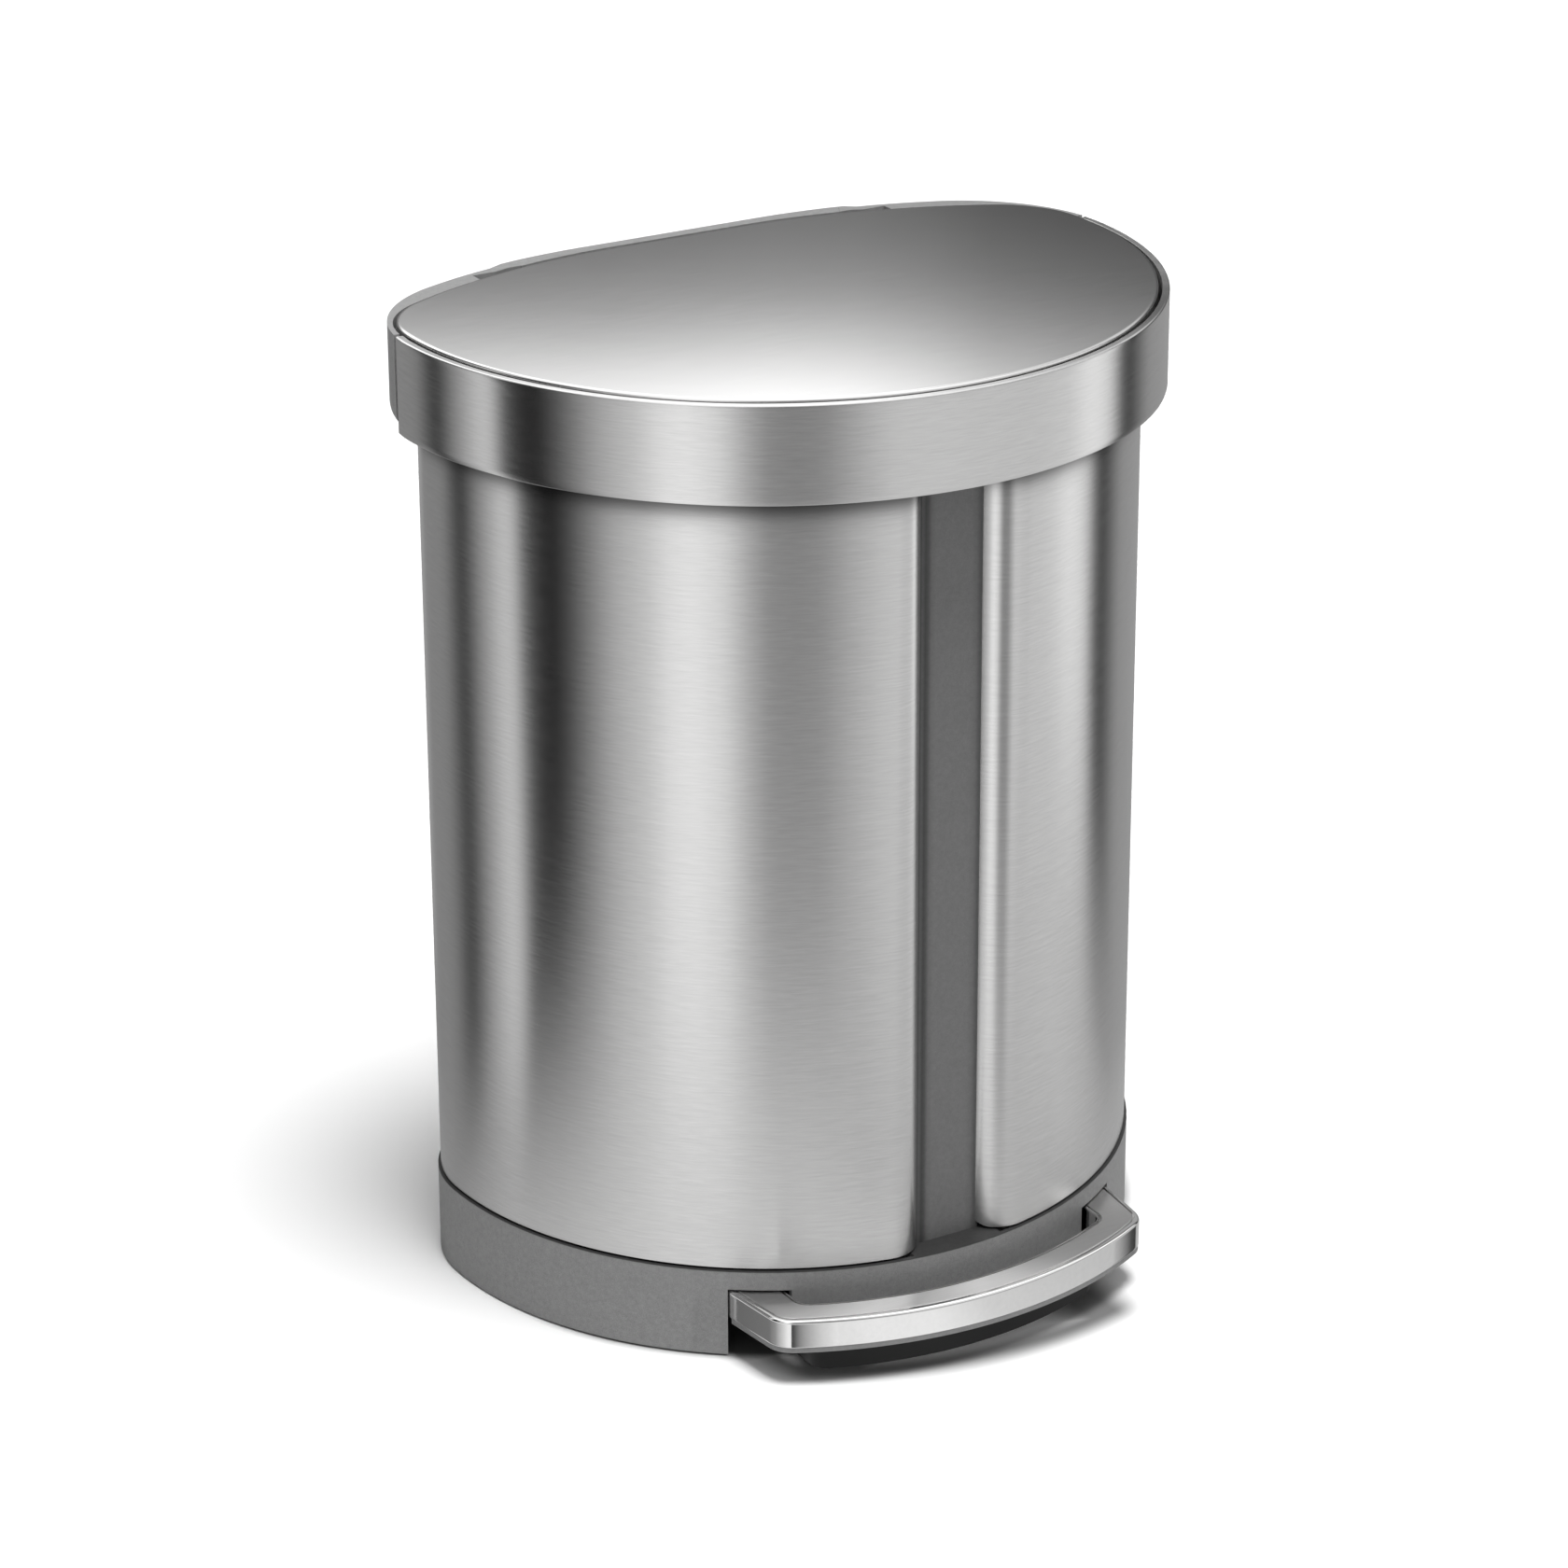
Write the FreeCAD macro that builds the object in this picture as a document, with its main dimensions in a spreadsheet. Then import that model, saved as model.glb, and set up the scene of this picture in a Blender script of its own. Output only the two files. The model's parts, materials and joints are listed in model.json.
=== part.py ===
import FreeCAD, Part

import math
import os
import re

import Sketcher
from FreeCAD import Rotation, Vector

# Semi-round pedal bin: two brushed steel sheets round a plastic base and rim, two inner buckets,
# a flush steel lid on a rear hinge pin, and a wide front pedal that lifts the lid through a lever
# and an upright push rod.  Every piece is drawn about the centre of the half-round front, with the
# front towards -Y, and is then moved so that the origin lies under the middle of the whole bin.

SIZES = {
    # plan of the rim, from which every other outline is inset
    "rim_front_radius": 258.9,
    "rim_corner_radius": 106.9,
    "rim_back_radius": 324.8,
    "rim_back_depth": 123.7,
    # heights
    "can_height": 650,
    "rim_height": 63.3,
    "base_height": 61.8,
    "floor_gap": 1.5,
    # body sheets and the channel between them
    "body_inset": 16.7,
    "sheet_thickness": 0.8,
    "channel_half_width": 19,
    "channel_depth": 17.4,
    "channel_roll": 9,
    "sheet_corner_radius": 11,
    "strip_half_width": 24,
    "strip_thickness": 2.5,
    # base
    "base_inset": 14.9,
    "base_wall": 3,
    "deck_level": 53,
    "deck_thickness": 3,
    "slot_half_width": 147,
    "slot_inner_half_width": 112,
    "slot_top": 48.5,
    "gate_height": 10,
    "foot_boss_radius": 13,
    "foot_boss_x": 160,
    "foot_boss_front": 105,
    "foot_boss_rear": 45,
    "rubber_foot_radius": 10,
    "rubber_foot_height": 6,
    "rod_hole_radius": 9,
    # front foot
    "front_foot_reach": 18,
    "front_foot_half_width": 107,
    "front_foot_height": 20,
    "front_foot_setback": 32,
    "front_foot_taper": 7,
    "front_foot_corner": 12,
    "post_x": 45,
    "post_size": 16,
    "post_setback": 7,
    # rim
    "rim_top_width": 5,
    "band_thickness": 1.2,
    "band_flange": 1.1,
    "band_return": 19.2,
    "band_chamfer": 0.7,
    "rim_wall": 3,
    "rim_lip": 6,
    "rim_lip_reach": 12,
    "rim_rear_roll": 12,
    "rim_inner_wall": 3,
    "fit_gap": 0.2,
    "rest_gap": 0.3,
    "overrun": 1,
    "well_depth": 24,
    "ledge_thickness": 4,
    "ledge_inset": 24,
    "ledge_rear": 65,
    "shelf_thickness": 8,
    "relief_half_width": 156,
    "relief_deep_half_width": 140,
    "relief_reach": 7.5,
    "plateau_rise": 1.2,
    "plateau_half_width": 130,
    "plateau_run": 9,
    "cover_half_width": 117,
    "cover_height": 38,
    "cover_wall": 2.5,
    "cover_lip": 9.3,
    "cover_gap": 2.8,
    "cover_skew": 12,
    # lid
    "lid_gap": 2.2,
    "lid_back_inset": 12.1,
    "lid_back_radius": 360,
    "lid_corner_radius": 65,
    "lid_flat_half_width": 48,
    "lid_rise": 1.6,
    "lid_sheet": 1,
    "lid_edge_depth": 10,
    "lid_edge_roll": 2,
    "panel_wall": 2.8,
    "panel_plate": 2.6,
    "panel_depth": 16.6,
    "hinge_zone_half_width": 118,
    "hinge_zone_front": 7,
    "hinge_zone_clearance": 3,
    # hinge and crank
    "hinge_inset": 23.7,
    "hinge_drop": 4,
    "pin_radius": 2,
    "pin_half_length": 112,
    "running_gap": 0.05,
    "eye_radius": 4.3,
    "arm_offset": 76,
    "arm_width": 10,
    "arm_drop": 3.2,
    "bracket_offset": 94,
    "bracket_width": 10,
    "bracket_foot_width": 24,
    "bracket_foot_thickness": 3,
    "bracket_foot_front": 12,
    "bracket_foot_rear": 8,
    "bracket_post_rear": 0.9,
    "bracket_screw_pitch": 17,
    "bracket_screw_rear": 2,
    "hinge_plate_half_width": 86,
    "hinge_plate_depth": 37,
    "hinge_plate_thickness": 3,
    "crank_length": 24,
    "crank_dip": 40,
    "crank_pin_radius": 2.5,
    "crank_cheek": 3,
    "crank_half_width": 5,
    "crank_hole_gap": 2.5,
    "crank_hole_rear": 8,
    # push rod
    "rod_radius": 3,
    "rod_foot_radius": 6,
    "rod_foot_height": 24,
    "rod_head_thickness": 8,
    "rod_head_wall": 3.5,
    "rod_head_neck": 19.5,
    "rod_head_grip": 14,
    "slot_gap": 0.7,
    "cheek_gap": 0.5,
    # damper
    "damper_x": 26,
    "damper_setback": 17.8,
    "damper_radius": 8,
    "damper_wall": 1.5,
    "damper_end": 4,
    "damper_level": 92,
    "damper_length": 100,
    "damper_rod_radius": 2.5,
    "piston_height": 10,
    "piston_rise": 26,
    "yoke_level": 236,
    "yoke_height": 8,
    "yoke_margin": 5,
    "clip_height": 15,
    "clip_margin": 3,
    # rear channel and rod guides
    "channel_plate": 2.5,
    "rear_channel_half_width": 50,
    "rear_channel_depth": 28,
    "rear_channel_rib": 3,
    "guide_half_width": 12,
    "guide_height": 14,
    "guide_first": 120,
    "guide_drop": 47,
    "guide_margin": 5,
    "guide_gap": 0.1,
    # buckets
    "bucket_inset": 27,
    "bucket_wall": 2,
    "bucket_floor": 2.5,
    "bucket_lift": 3,
    "bucket_divide": 3,
    "bucket_back": 62,
    "bucket_lip_inset": 14.5,
    "bucket_lip_back": 67.5,
    "bucket_lip_divide": 0.5,
    "bucket_lip_thickness": 3,
    "bucket_front_corner": 50,
    "bucket_corner": 25,
    # pedal
    "pedal_reach": 40.3,
    "pedal_gap": 16,
    "pedal_top": 47.5,
    "pedal_skirt": 28,
    "pedal_sheet": 1.5,
    "pedal_root_half_width": 146,
    "pedal_root_setback": 49,
    "pedal_arm_setback": 66,
    "pedal_draft": 6,
    "pedal_corner": 20,
    "pedal_inner_corner": 10,
    "pedal_opening_half_width": 115,
    "pedal_edge_roll": 3.5,
    "trim_height": 3.5,
    "trim_inset": 0.3,
    "trim_setback": 47,
    "trim_margin": 10,
    # lever and axle
    "axle_setback": 104.3,
    "axle_level": 30,
    "axle_radius": 4,
    "bush_wall": 2,
    "lever_arm_inner": 120,
    "lever_arm_outer": 134,
    "lever_front_setback": 4,
    "lever_front_depth": 10,
    "lever_shoulder_setback": 44,
    "lever_eye_half_height": 10,
    "cross_offset": 21.7,
    "cross_width": 20,
    "cross_half_height": 4,
    "beam_half_width": 13,
    "beam_rear_reach": 12,
    "beam_pad_length": 35,
    "beam_drop": 14,
    "beam_thickness": 6,
    "axle_bracket_inner": 106,
    "axle_bracket_thickness": 4,
    "axle_bracket_half_length": 16,
    "axle_bracket_below": 9,
    "axle_flange_width": 14,
    "axle_flange_thickness": 3,
    # screws and bumpers
    "screw_radius": 1.6,
    "screw_head_radius": 3.2,
    "screw_head_height": 2,
    "lid_screw_x": 50,
    "lid_screw_first": 10,
    "lid_screw_second": 28,
    "foot_screw_length": 13,
    "bumper_radius": 4,
    "bumper_inset": 9.7,
    "bumper_front_setback": 33.4,
    "bumper_side_setback": 8.5,
}

# Places worked out from the sizes, as expressions of the sheet.
ORIGIN_SHIFT = "(rim_front_radius - base_inset + pedal_reach - rim_back_depth) / 2"
BASE_RADIUS = "(rim_front_radius - base_inset)"
RIM_BOTTOM = "(can_height - rim_height)"
LEDGE_TOP = "(can_height - well_depth)"
LEDGE_UNDERSIDE = "(can_height - well_depth - ledge_thickness)"
DECK_TOP = "(deck_level + deck_thickness)"
SHEET_INNER_Y = "(rim_back_depth - body_inset - sheet_thickness)"
SPINE_BACK_Y = "(rim_back_depth - base_inset - base_wall)"
STRIP_FACE_Y = "(channel_depth + body_inset - rim_front_radius)"
LID_TOP = "(can_height + lid_rise)"
LID_UNDERSIDE = "(can_height + lid_rise - lid_sheet)"
LID_INSET = "(rim_top_width + lid_gap)"
PANEL_UNDERSIDE = "(can_height + lid_rise - lid_sheet - panel_plate)"
HINGE_Y = "(rim_back_depth - hinge_inset)"
HINGE_Z = "(can_height - hinge_drop)"
CRANK_Y = "(rim_back_depth - hinge_inset - crank_length * cos(crank_dip))"
CRANK_Z = "(can_height - hinge_drop - crank_length * sin(crank_dip))"
DAMPER_Y = "(rim_back_depth - base_inset - base_wall - damper_setback)"
CRANK_FAR_Y = "(rim_back_depth - hinge_inset - crank_length)"
CRANK_HALF_GAP = "(rod_head_thickness / 2 + cheek_gap)"
CRANK_HALF_WIDTH = "(rod_head_thickness / 2 + cheek_gap + crank_cheek)"
ROD_Y = "(rim_back_depth - hinge_inset - crank_length * (1 + cos(crank_dip)) / 2)"
GUIDE_TOP = "(can_height - hinge_drop - crank_length * sin(crank_dip) - rod_head_neck - guide_drop)"
BEAM_TOP = "(axle_level - beam_drop)"
ROD_FOOT_Z = "(axle_level - beam_drop + rest_gap)"
AXLE_Y = "(axle_setback + base_inset - rim_front_radius)"
CROSS_FRONT = "(axle_setback + cross_offset + base_inset - rim_front_radius)"
CROSS_REAR = "(axle_setback + cross_offset + cross_width + base_inset - rim_front_radius)"
LEVER_SHOULDER = "(lever_shoulder_setback + base_inset - rim_front_radius)"
LEVER_FRONT = "(lever_front_setback + base_inset - rim_front_radius)"
PEDAL_UNDERSIDE = "(pedal_top - pedal_sheet)"
PEDAL_RADIUS = "(rim_front_radius - base_inset + pedal_reach)"
PEDAL_INNER_RADIUS = "(rim_front_radius - base_inset + pedal_gap)"
PEDAL_ROOT = "(rim_front_radius - base_inset - pedal_root_setback)"
PEDAL_ARM_REAR = "(rim_front_radius - base_inset - pedal_arm_setback)"
SCREW_HOLE = "(screw_radius + running_gap)"

doc = FreeCAD.newDocument("PedalBin")
sheet = doc.addObject("Spreadsheet::Sheet", "Sizes")
for row, (alias, size) in enumerate(SIZES.items(), start=1):
    sheet.set(f"A{row}", alias)
    sheet.set(f"B{row}", str(size))
    sheet.setAlias(f"B{row}", alias)
doc.recompute()

parts = []

# How near an edge's bounds must be to a level to count as lying on it.
NEAR = 0.1


# ---------------------------------------------------------------- expressions and documents

def full(expression):
    """Write an expression of plain aliases as one that names the sheet."""
    return re.sub(r"[a-z_]+", lambda word: f"Sizes.{word[0]}" if word[0] in SIZES else word[0], expression)


def value(expression):
    """Give the number that an expression works out to."""
    result = sheet.evalExpression(full(expression))
    return float(getattr(result, "Value", result))


def bind(item, name, expression):
    """Tie a property of an object to an expression of the sheet."""
    item.setExpression(name, full(expression))


def keep(item, label, y="0"):
    """Name a finished sub-part and move it so that the bin stands over the origin."""
    item.Label = label
    bind(item, "Placement.Base.y", f"{ORIGIN_SHIFT} + {y}")
    parts.append(item)
    return item


def new_body(label):
    """Start a sub-part that is built from sketched features."""
    return keep(doc.addObject("PartDesign::Body", label), label)


def new_sketch(body, level="0", plane="XY_Plane"):
    """Start a sketch on one of a body's own planes, lifted along the plane's normal."""
    sketch = body.newObject("Sketcher::SketchObject", f"{body.Name}_sketch")
    origin_plane = [item for item in body.Origin.OriginFeatures if item.Role == plane][0]
    sketch.AttachmentSupport = [(origin_plane, "")]
    sketch.MapMode = "FlatFace"
    bind(sketch, "AttachmentOffset.Base.z", level)
    return sketch


def pad(body, sketch, length, both_ways=False):
    """Raise a sketch into solid, along its normal or half each way."""
    feature = body.newObject("PartDesign::Pad", f"{body.Name}_pad")
    feature.Profile = sketch
    feature.SideType = "Symmetric" if both_ways else "One side"
    bind(feature, "Length", length)
    doc.recompute()
    return feature


def cut(body, sketch, depth=None, upward=False, both_ways=False):
    """Remove a sketch's shape, to a depth or right through, and check that it cut something."""
    before = body.Shape.Volume
    feature = body.newObject("PartDesign::Pocket", f"{body.Name}_cut")
    feature.Profile = sketch
    feature.Reversed = upward
    feature.SideType = "Symmetric" if both_ways else "One side"
    if depth is None:
        feature.Type = "ThroughAll"
    else:
        bind(feature, "Length", depth)
    doc.recompute()
    if not feature.Shape.Volume < before:
        raise RuntimeError(f"a cut of {body.Label} removed nothing")
    return feature


def edges_where(feature, test):
    """List the names of a feature's edges whose bounds pass a test."""
    return [f"Edge{k}" for k, edge in enumerate(feature.Shape.Edges, start=1) if test(edge.BoundBox)]


def fillet(body, feature, test, radius):
    """Round the edges of a feature that pass a test."""
    rounded = body.newObject("PartDesign::Fillet", f"{body.Name}_fillet")
    rounded.Base = (feature, edges_where(feature, test))
    bind(rounded, "Radius", radius)
    doc.recompute()
    return rounded


# ---------------------------------------------------------------- sketch geometry

def size_constraint(sketch, kind, *references, size):
    """Add a dimension to a sketch and tie it to an expression."""
    index = sketch.addConstraint(Sketcher.Constraint(kind, *references, value(size)))
    bind(sketch, f"Constraints[{index}]", size)


def relate(sketch, kind, *references):
    """Add a geometric constraint to a sketch."""
    sketch.addConstraint(Sketcher.Constraint(kind, *references))


def fix_point(sketch, geometry, end, x, y):
    """Hold one end of a piece of geometry at a place given by two expressions."""
    for kind, axis, place in (("DistanceX", -2, x), ("DistanceY", -1, y)):
        if place == "0":
            relate(sketch, "PointOnObject", geometry, end, axis)
        else:
            size_constraint(sketch, kind, -1, 1, geometry, end, size=place)


def polygon(sketch, points):
    """Draw a closed loop of straight lines through points given as expressions."""
    corners = [Vector(value(x), value(y), 0) for x, y in points]
    lines = [sketch.addGeometry(Part.LineSegment(start, end))
             for start, end in zip(corners, corners[1:] + corners[:1])]
    for k, (x, y) in enumerate(points):
        relate(sketch, "Coincident", lines[k - 1], 2, lines[k], 1)
        fix_point(sketch, lines[k], 1, x, y)
    return sketch


def rectangle(sketch, low_x, high_x, low_y, high_y):
    """Draw a rectangle between expressions."""
    return polygon(sketch, [(low_x, low_y), (high_x, low_y), (high_x, high_y), (low_x, high_y)])


def circles(sketch, places, radius):
    """Draw equal circles at places given as expressions."""
    for x, y in places:
        centre = Vector(value(x), value(y), 0)
        circle = sketch.addGeometry(Part.Circle(centre, Vector(0, 0, 1), value(radius)))
        fix_point(sketch, circle, 3, x, y)
        size_constraint(sketch, "Radius", circle, size=radius)
    return sketch


class Chain:
    """A closed run of arcs and lines that meet tangentially or at corners.

    side is 1 for a run drawn as given and -1 for its mirror image in the Y axis.
    """

    def __init__(self, sketch, side=1):
        self.sketch = sketch
        self.side = side
        self.steps = []

    def arc(self, centre, radius, start, end, size, clockwise=False):
        """Add an arc between two angles and tie its radius; the run follows it either way round."""
        middle = Vector(self.side * centre[0], centre[1], 0)
        turns = (start, end) if self.side > 0 else (math.pi - end, math.pi - start)
        shape = Part.ArcOfCircle(Part.Circle(middle, Vector(0, 0, 1), radius), *turns)
        geometry = self.sketch.addGeometry(shape)
        size_constraint(self.sketch, "Radius", geometry, size=size)
        forwards = (self.side > 0) != clockwise
        self.steps.append((geometry, 1, 2) if forwards else (geometry, 2, 1))
        return geometry

    def line(self, start, end):
        """Add a straight line."""
        points = [Vector(self.side * x, y, 0) for x, y in (start, end)]
        geometry = self.sketch.addGeometry(Part.LineSegment(*points))
        self.steps.append((geometry, 1, 2))
        return geometry

    def join(self, corners=()):
        """Close the run; joints are tangent apart from those after the steps named as corners."""
        for k, (geometry, _, end) in enumerate(self.steps):
            following, start, _ = self.steps[(k + 1) % len(self.steps)]
            kind = "Coincident" if k in corners else "Tangent"
            relate(self.sketch, kind, geometry, end, following, start)


def plan_numbers(inset, back_inset):
    """Give the radii and centres of the semi-round plan at an inset from the rim."""
    front = value(f"rim_front_radius - {inset}")
    corner = value(f"rim_corner_radius - {inset}")
    back = value(f"rim_back_radius - {inset}")
    depth = value(f"rim_back_depth - {back_inset}")
    corner_x = front - corner
    back_y = depth - back
    back_x = corner_x - math.sqrt((back - corner) ** 2 - back_y ** 2)
    turn = math.atan2(-back_y, corner_x - back_x)
    return front, corner, back, depth, corner_x, back_x, back_y, turn


def plan_outline(sketch, inset, back_inset=None):
    """Draw the whole semi-round plan, inset from the rim."""
    back_inset = back_inset or inset
    front, corner, back, depth, corner_x, back_x, back_y, turn = plan_numbers(inset, back_inset)
    run = Chain(sketch)
    nose = run.arc((0, 0), front, math.pi, 2 * math.pi, f"rim_front_radius - {inset}")
    run.arc((corner_x, 0), corner, 0, turn, f"rim_corner_radius - {inset}")
    run.arc((back_x, back_y), back, turn, math.pi / 2, f"rim_back_radius - {inset}")
    flat = run.line((back_x, depth), (-back_x, depth))
    run.arc((-back_x, back_y), back, math.pi / 2, math.pi - turn, f"rim_back_radius - {inset}")
    run.arc((-corner_x, 0), corner, math.pi - turn, math.pi, f"rim_corner_radius - {inset}")
    run.join()
    fix_point(sketch, nose, 3, "0", "0")
    relate(sketch, "PointOnObject", nose, 1, -1)
    relate(sketch, "PointOnObject", nose, 2, -1)
    relate(sketch, "Horizontal", flat)
    size_constraint(sketch, "DistanceY", -1, 1, flat, 1, size=f"rim_back_depth - {back_inset}")
    return sketch


def front_outline(sketch, inset, chord):
    """Draw the plan in front of a straight chord across it."""
    front, corner, _, _, corner_x, _, _, _ = plan_numbers(inset, inset)
    height = value(chord)
    turn = math.asin(height / corner)
    reach = corner_x + corner * math.cos(turn)
    run = Chain(sketch)
    nose = run.arc((0, 0), front, math.pi, 2 * math.pi, f"rim_front_radius - {inset}")
    run.arc((corner_x, 0), corner, 0, turn, f"rim_corner_radius - {inset}")
    across = run.line((reach, height), (-reach, height))
    run.arc((-corner_x, 0), corner, math.pi - turn, math.pi, f"rim_corner_radius - {inset}")
    run.join(corners=(1, 2))
    fix_point(sketch, nose, 3, "0", "0")
    relate(sketch, "PointOnObject", nose, 1, -1)
    relate(sketch, "PointOnObject", nose, 2, -1)
    relate(sketch, "Horizontal", across)
    size_constraint(sketch, "DistanceY", -1, 1, across, 1, size=chord)
    return sketch


def rear_outline(sketch, inset, chord):
    """Draw the plan behind a straight chord across it."""
    _, corner, back, depth, corner_x, back_x, back_y, turn = plan_numbers(inset, inset)
    height = value(chord)
    first = math.asin(height / corner)
    reach = corner_x + corner * math.cos(first)
    run = Chain(sketch)
    right = run.arc((corner_x, 0), corner, first, turn, f"rim_corner_radius - {inset}")
    run.arc((back_x, back_y), back, turn, math.pi / 2, f"rim_back_radius - {inset}")
    flat = run.line((back_x, depth), (-back_x, depth))
    run.arc((-back_x, back_y), back, math.pi / 2, math.pi - turn, f"rim_back_radius - {inset}")
    left = run.arc((-corner_x, 0), corner, math.pi - turn, math.pi - first, f"rim_corner_radius - {inset}")
    across = run.line((-reach, height), (reach, height))
    run.join(corners=(4, 5))
    fix_point(sketch, right, 3, "rim_front_radius - rim_corner_radius", "0")
    fix_point(sketch, left, 3, "rim_corner_radius - rim_front_radius", "0")
    relate(sketch, "Horizontal", flat)
    relate(sketch, "Horizontal", across)
    size_constraint(sketch, "DistanceY", -1, 1, flat, 1, size=f"rim_back_depth - {inset}")
    size_constraint(sketch, "DistanceY", -1, 1, across, 1, size=chord)
    return sketch


def half_outline(sketch, side, inset, wall_x, roll):
    """Draw one half of the plan, its front edge rolled into a wall beside the middle."""
    front, corner, back, depth, corner_x, back_x, back_y, turn = plan_numbers(inset, inset)
    wall = value(wall_x)
    bend = value(roll)
    bend_x = wall + bend
    bend_y = -math.sqrt((front - bend) ** 2 - bend_x ** 2)
    meet = math.atan2(bend_y, bend_x)
    run = Chain(sketch, side)
    run.arc((bend_x, bend_y), bend, math.pi, 2 * math.pi + meet, roll)
    nose = run.arc((0, 0), front, meet, 0, f"rim_front_radius - {inset}")
    run.arc((corner_x, 0), corner, 0, turn, f"rim_corner_radius - {inset}")
    run.arc((back_x, back_y), back, turn, math.pi / 2, f"rim_back_radius - {inset}")
    flat = run.line((back_x, depth), (wall, depth))
    inner = run.line((wall, depth), (wall, bend_y))
    run.join(corners=(4,))
    fix_point(sketch, nose, 3, "0", "0")
    relate(sketch, "PointOnObject", nose, 2 if side > 0 else 1, -1)
    relate(sketch, "Horizontal", flat)
    relate(sketch, "Vertical", inner)
    fix_point(sketch, inner, 1, f"{side} * ({wall_x})", f"rim_back_depth - {inset}")
    return sketch


def lid_outline(sketch, inset):
    """Draw the lid's plan, inset from its edge: tighter rear corners than the rim's and a curved back."""
    front_size = f"rim_front_radius - {LID_INSET} - {inset}"
    front = value(front_size)
    corner = value(f"lid_corner_radius - {inset}")
    back = value(f"lid_back_radius - {inset}")
    depth = value(f"rim_back_depth - lid_back_inset - {inset}")
    flat_x = value("lid_flat_half_width")
    back_y = depth - back
    reach = front - corner
    far = math.hypot(flat_x, back_y)
    along = (reach ** 2 + far ** 2 - (back - corner) ** 2) / (2 * reach)
    first = math.atan2(back_y, flat_x) + math.acos(along / far)
    corner_x = reach * math.cos(first)
    corner_y = reach * math.sin(first)
    turn = math.atan2(corner_y - back_y, corner_x - flat_x)
    run = Chain(sketch)
    nose = run.arc((0, 0), front, math.pi - first, 2 * math.pi + first, front_size)
    run.arc((corner_x, corner_y), corner, first, turn, f"lid_corner_radius - {inset}")
    run.arc((flat_x, back_y), back, turn, math.pi / 2, f"lid_back_radius - {inset}")
    flat = run.line((flat_x, depth), (-flat_x, depth))
    run.arc((-flat_x, back_y), back, math.pi / 2, math.pi - turn, f"lid_back_radius - {inset}")
    run.arc((-corner_x, corner_y), corner, math.pi - turn, math.pi - first, f"lid_corner_radius - {inset}")
    run.join()
    fix_point(sketch, nose, 3, "0", "0")
    relate(sketch, "Horizontal", flat)
    fix_point(sketch, flat, 1, "lid_flat_half_width", f"rim_back_depth - lid_back_inset - {inset}")
    size_constraint(sketch, "DistanceX", -1, 1, flat, 2, size="-lid_flat_half_width")
    return sketch


def bucket_outline(sketch, side, inset, wall_x, back_y, shrink):
    """Draw one bucket's plan: the half-round side, a straight back and a straight inner wall."""
    front, corner, _, _, corner_x, _, _, _ = plan_numbers(inset, inset)
    wall = value(wall_x)
    rear = value(back_y)
    bend = value(f"bucket_front_corner - {shrink}")
    small = value(f"bucket_corner - {shrink}")
    bend_x = wall + bend
    bend_y = -math.sqrt((front - bend) ** 2 - bend_x ** 2)
    meet = math.atan2(bend_y, bend_x)
    outer_x = corner_x + math.sqrt((corner - small) ** 2 - (rear - small) ** 2)
    turn = math.atan2(rear - small, outer_x - corner_x)
    run = Chain(sketch, side)
    run.arc((bend_x, bend_y), bend, math.pi, 2 * math.pi + meet, f"bucket_front_corner - {shrink}")
    nose = run.arc((0, 0), front, meet, 0, f"rim_front_radius - {inset}")
    run.arc((corner_x, 0), corner, 0, turn, f"rim_corner_radius - {inset}")
    run.arc((outer_x, rear - small), small, turn, math.pi / 2, f"bucket_corner - {shrink}")
    flat = run.line((outer_x, rear), (wall + small, rear))
    run.arc((wall + small, rear - small), small, math.pi / 2, math.pi, f"bucket_corner - {shrink}")
    inner = run.line((wall, rear - small), (wall, bend_y))
    run.join()
    fix_point(sketch, nose, 3, "0", "0")
    relate(sketch, "PointOnObject", nose, 2 if side > 0 else 1, -1)
    relate(sketch, "Horizontal", flat)
    relate(sketch, "Vertical", inner)
    size_constraint(sketch, "DistanceY", -1, 1, flat, 1, size=back_y)
    size_constraint(sketch, "DistanceX", -1, 1, inner, 1, size=f"{side} * ({wall_x})")
    return sketch


# ---------------------------------------------------------------- simple solids

def cylinder(radius, height, x, y, bottom, lengthwise=False):
    """Make a Part cylinder that stands at x, y, or lies along X from x."""
    item = doc.addObject("Part::Cylinder", "Cylinder")
    bind(item, "Radius", radius)
    bind(item, "Height", height)
    if lengthwise:
        item.Placement.Rotation = Rotation(Vector(0, 1, 0), 90)
    for axis, place in (("x", x), ("y", y), ("z", bottom)):
        bind(item, f"Placement.Base.{axis}", place)
    return item


def box(low, high):
    """Make a Part box between two corners given as expressions."""
    item = doc.addObject("Part::Box", "Box")
    for side, axis, first, last in zip(("Length", "Width", "Height"), "xyz", low, high):
        bind(item, side, f"({last}) - ({first})")
        bind(item, f"Placement.Base.{axis}", first)
    return item


def difference(base, tool):
    """Cut one Part solid from another."""
    item = doc.addObject("Part::Cut", "Cut")
    item.Base = base
    item.Tool = tool
    return item


def union(*items):
    """Join Part solids into one."""
    item = doc.addObject("Part::MultiFuse", "Join")
    item.Shapes = list(items)
    return item


def group(label, items):
    """Keep several separate solids as one sub-part."""
    item = doc.addObject("Part::Compound", label)
    item.Links = items
    return keep(item, label)


def screw(x, y, seat, length, head_up=True):
    """Make a pan-head screw whose head bears on a seat level."""
    if head_up:
        head = cylinder("screw_head_radius", "screw_head_height", x, y, seat)
        return union(head, cylinder("screw_radius", length, x, y, f"({seat}) - ({length})"))
    head = cylinder("screw_head_radius", "screw_head_height", x, y, f"({seat}) - screw_head_height")
    return union(head, cylinder("screw_radius", length, x, y, seat))


def both_sides(x, y):
    """Give a place and its mirror image."""
    return [(f"-({x})", y), (x, y)]


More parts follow.
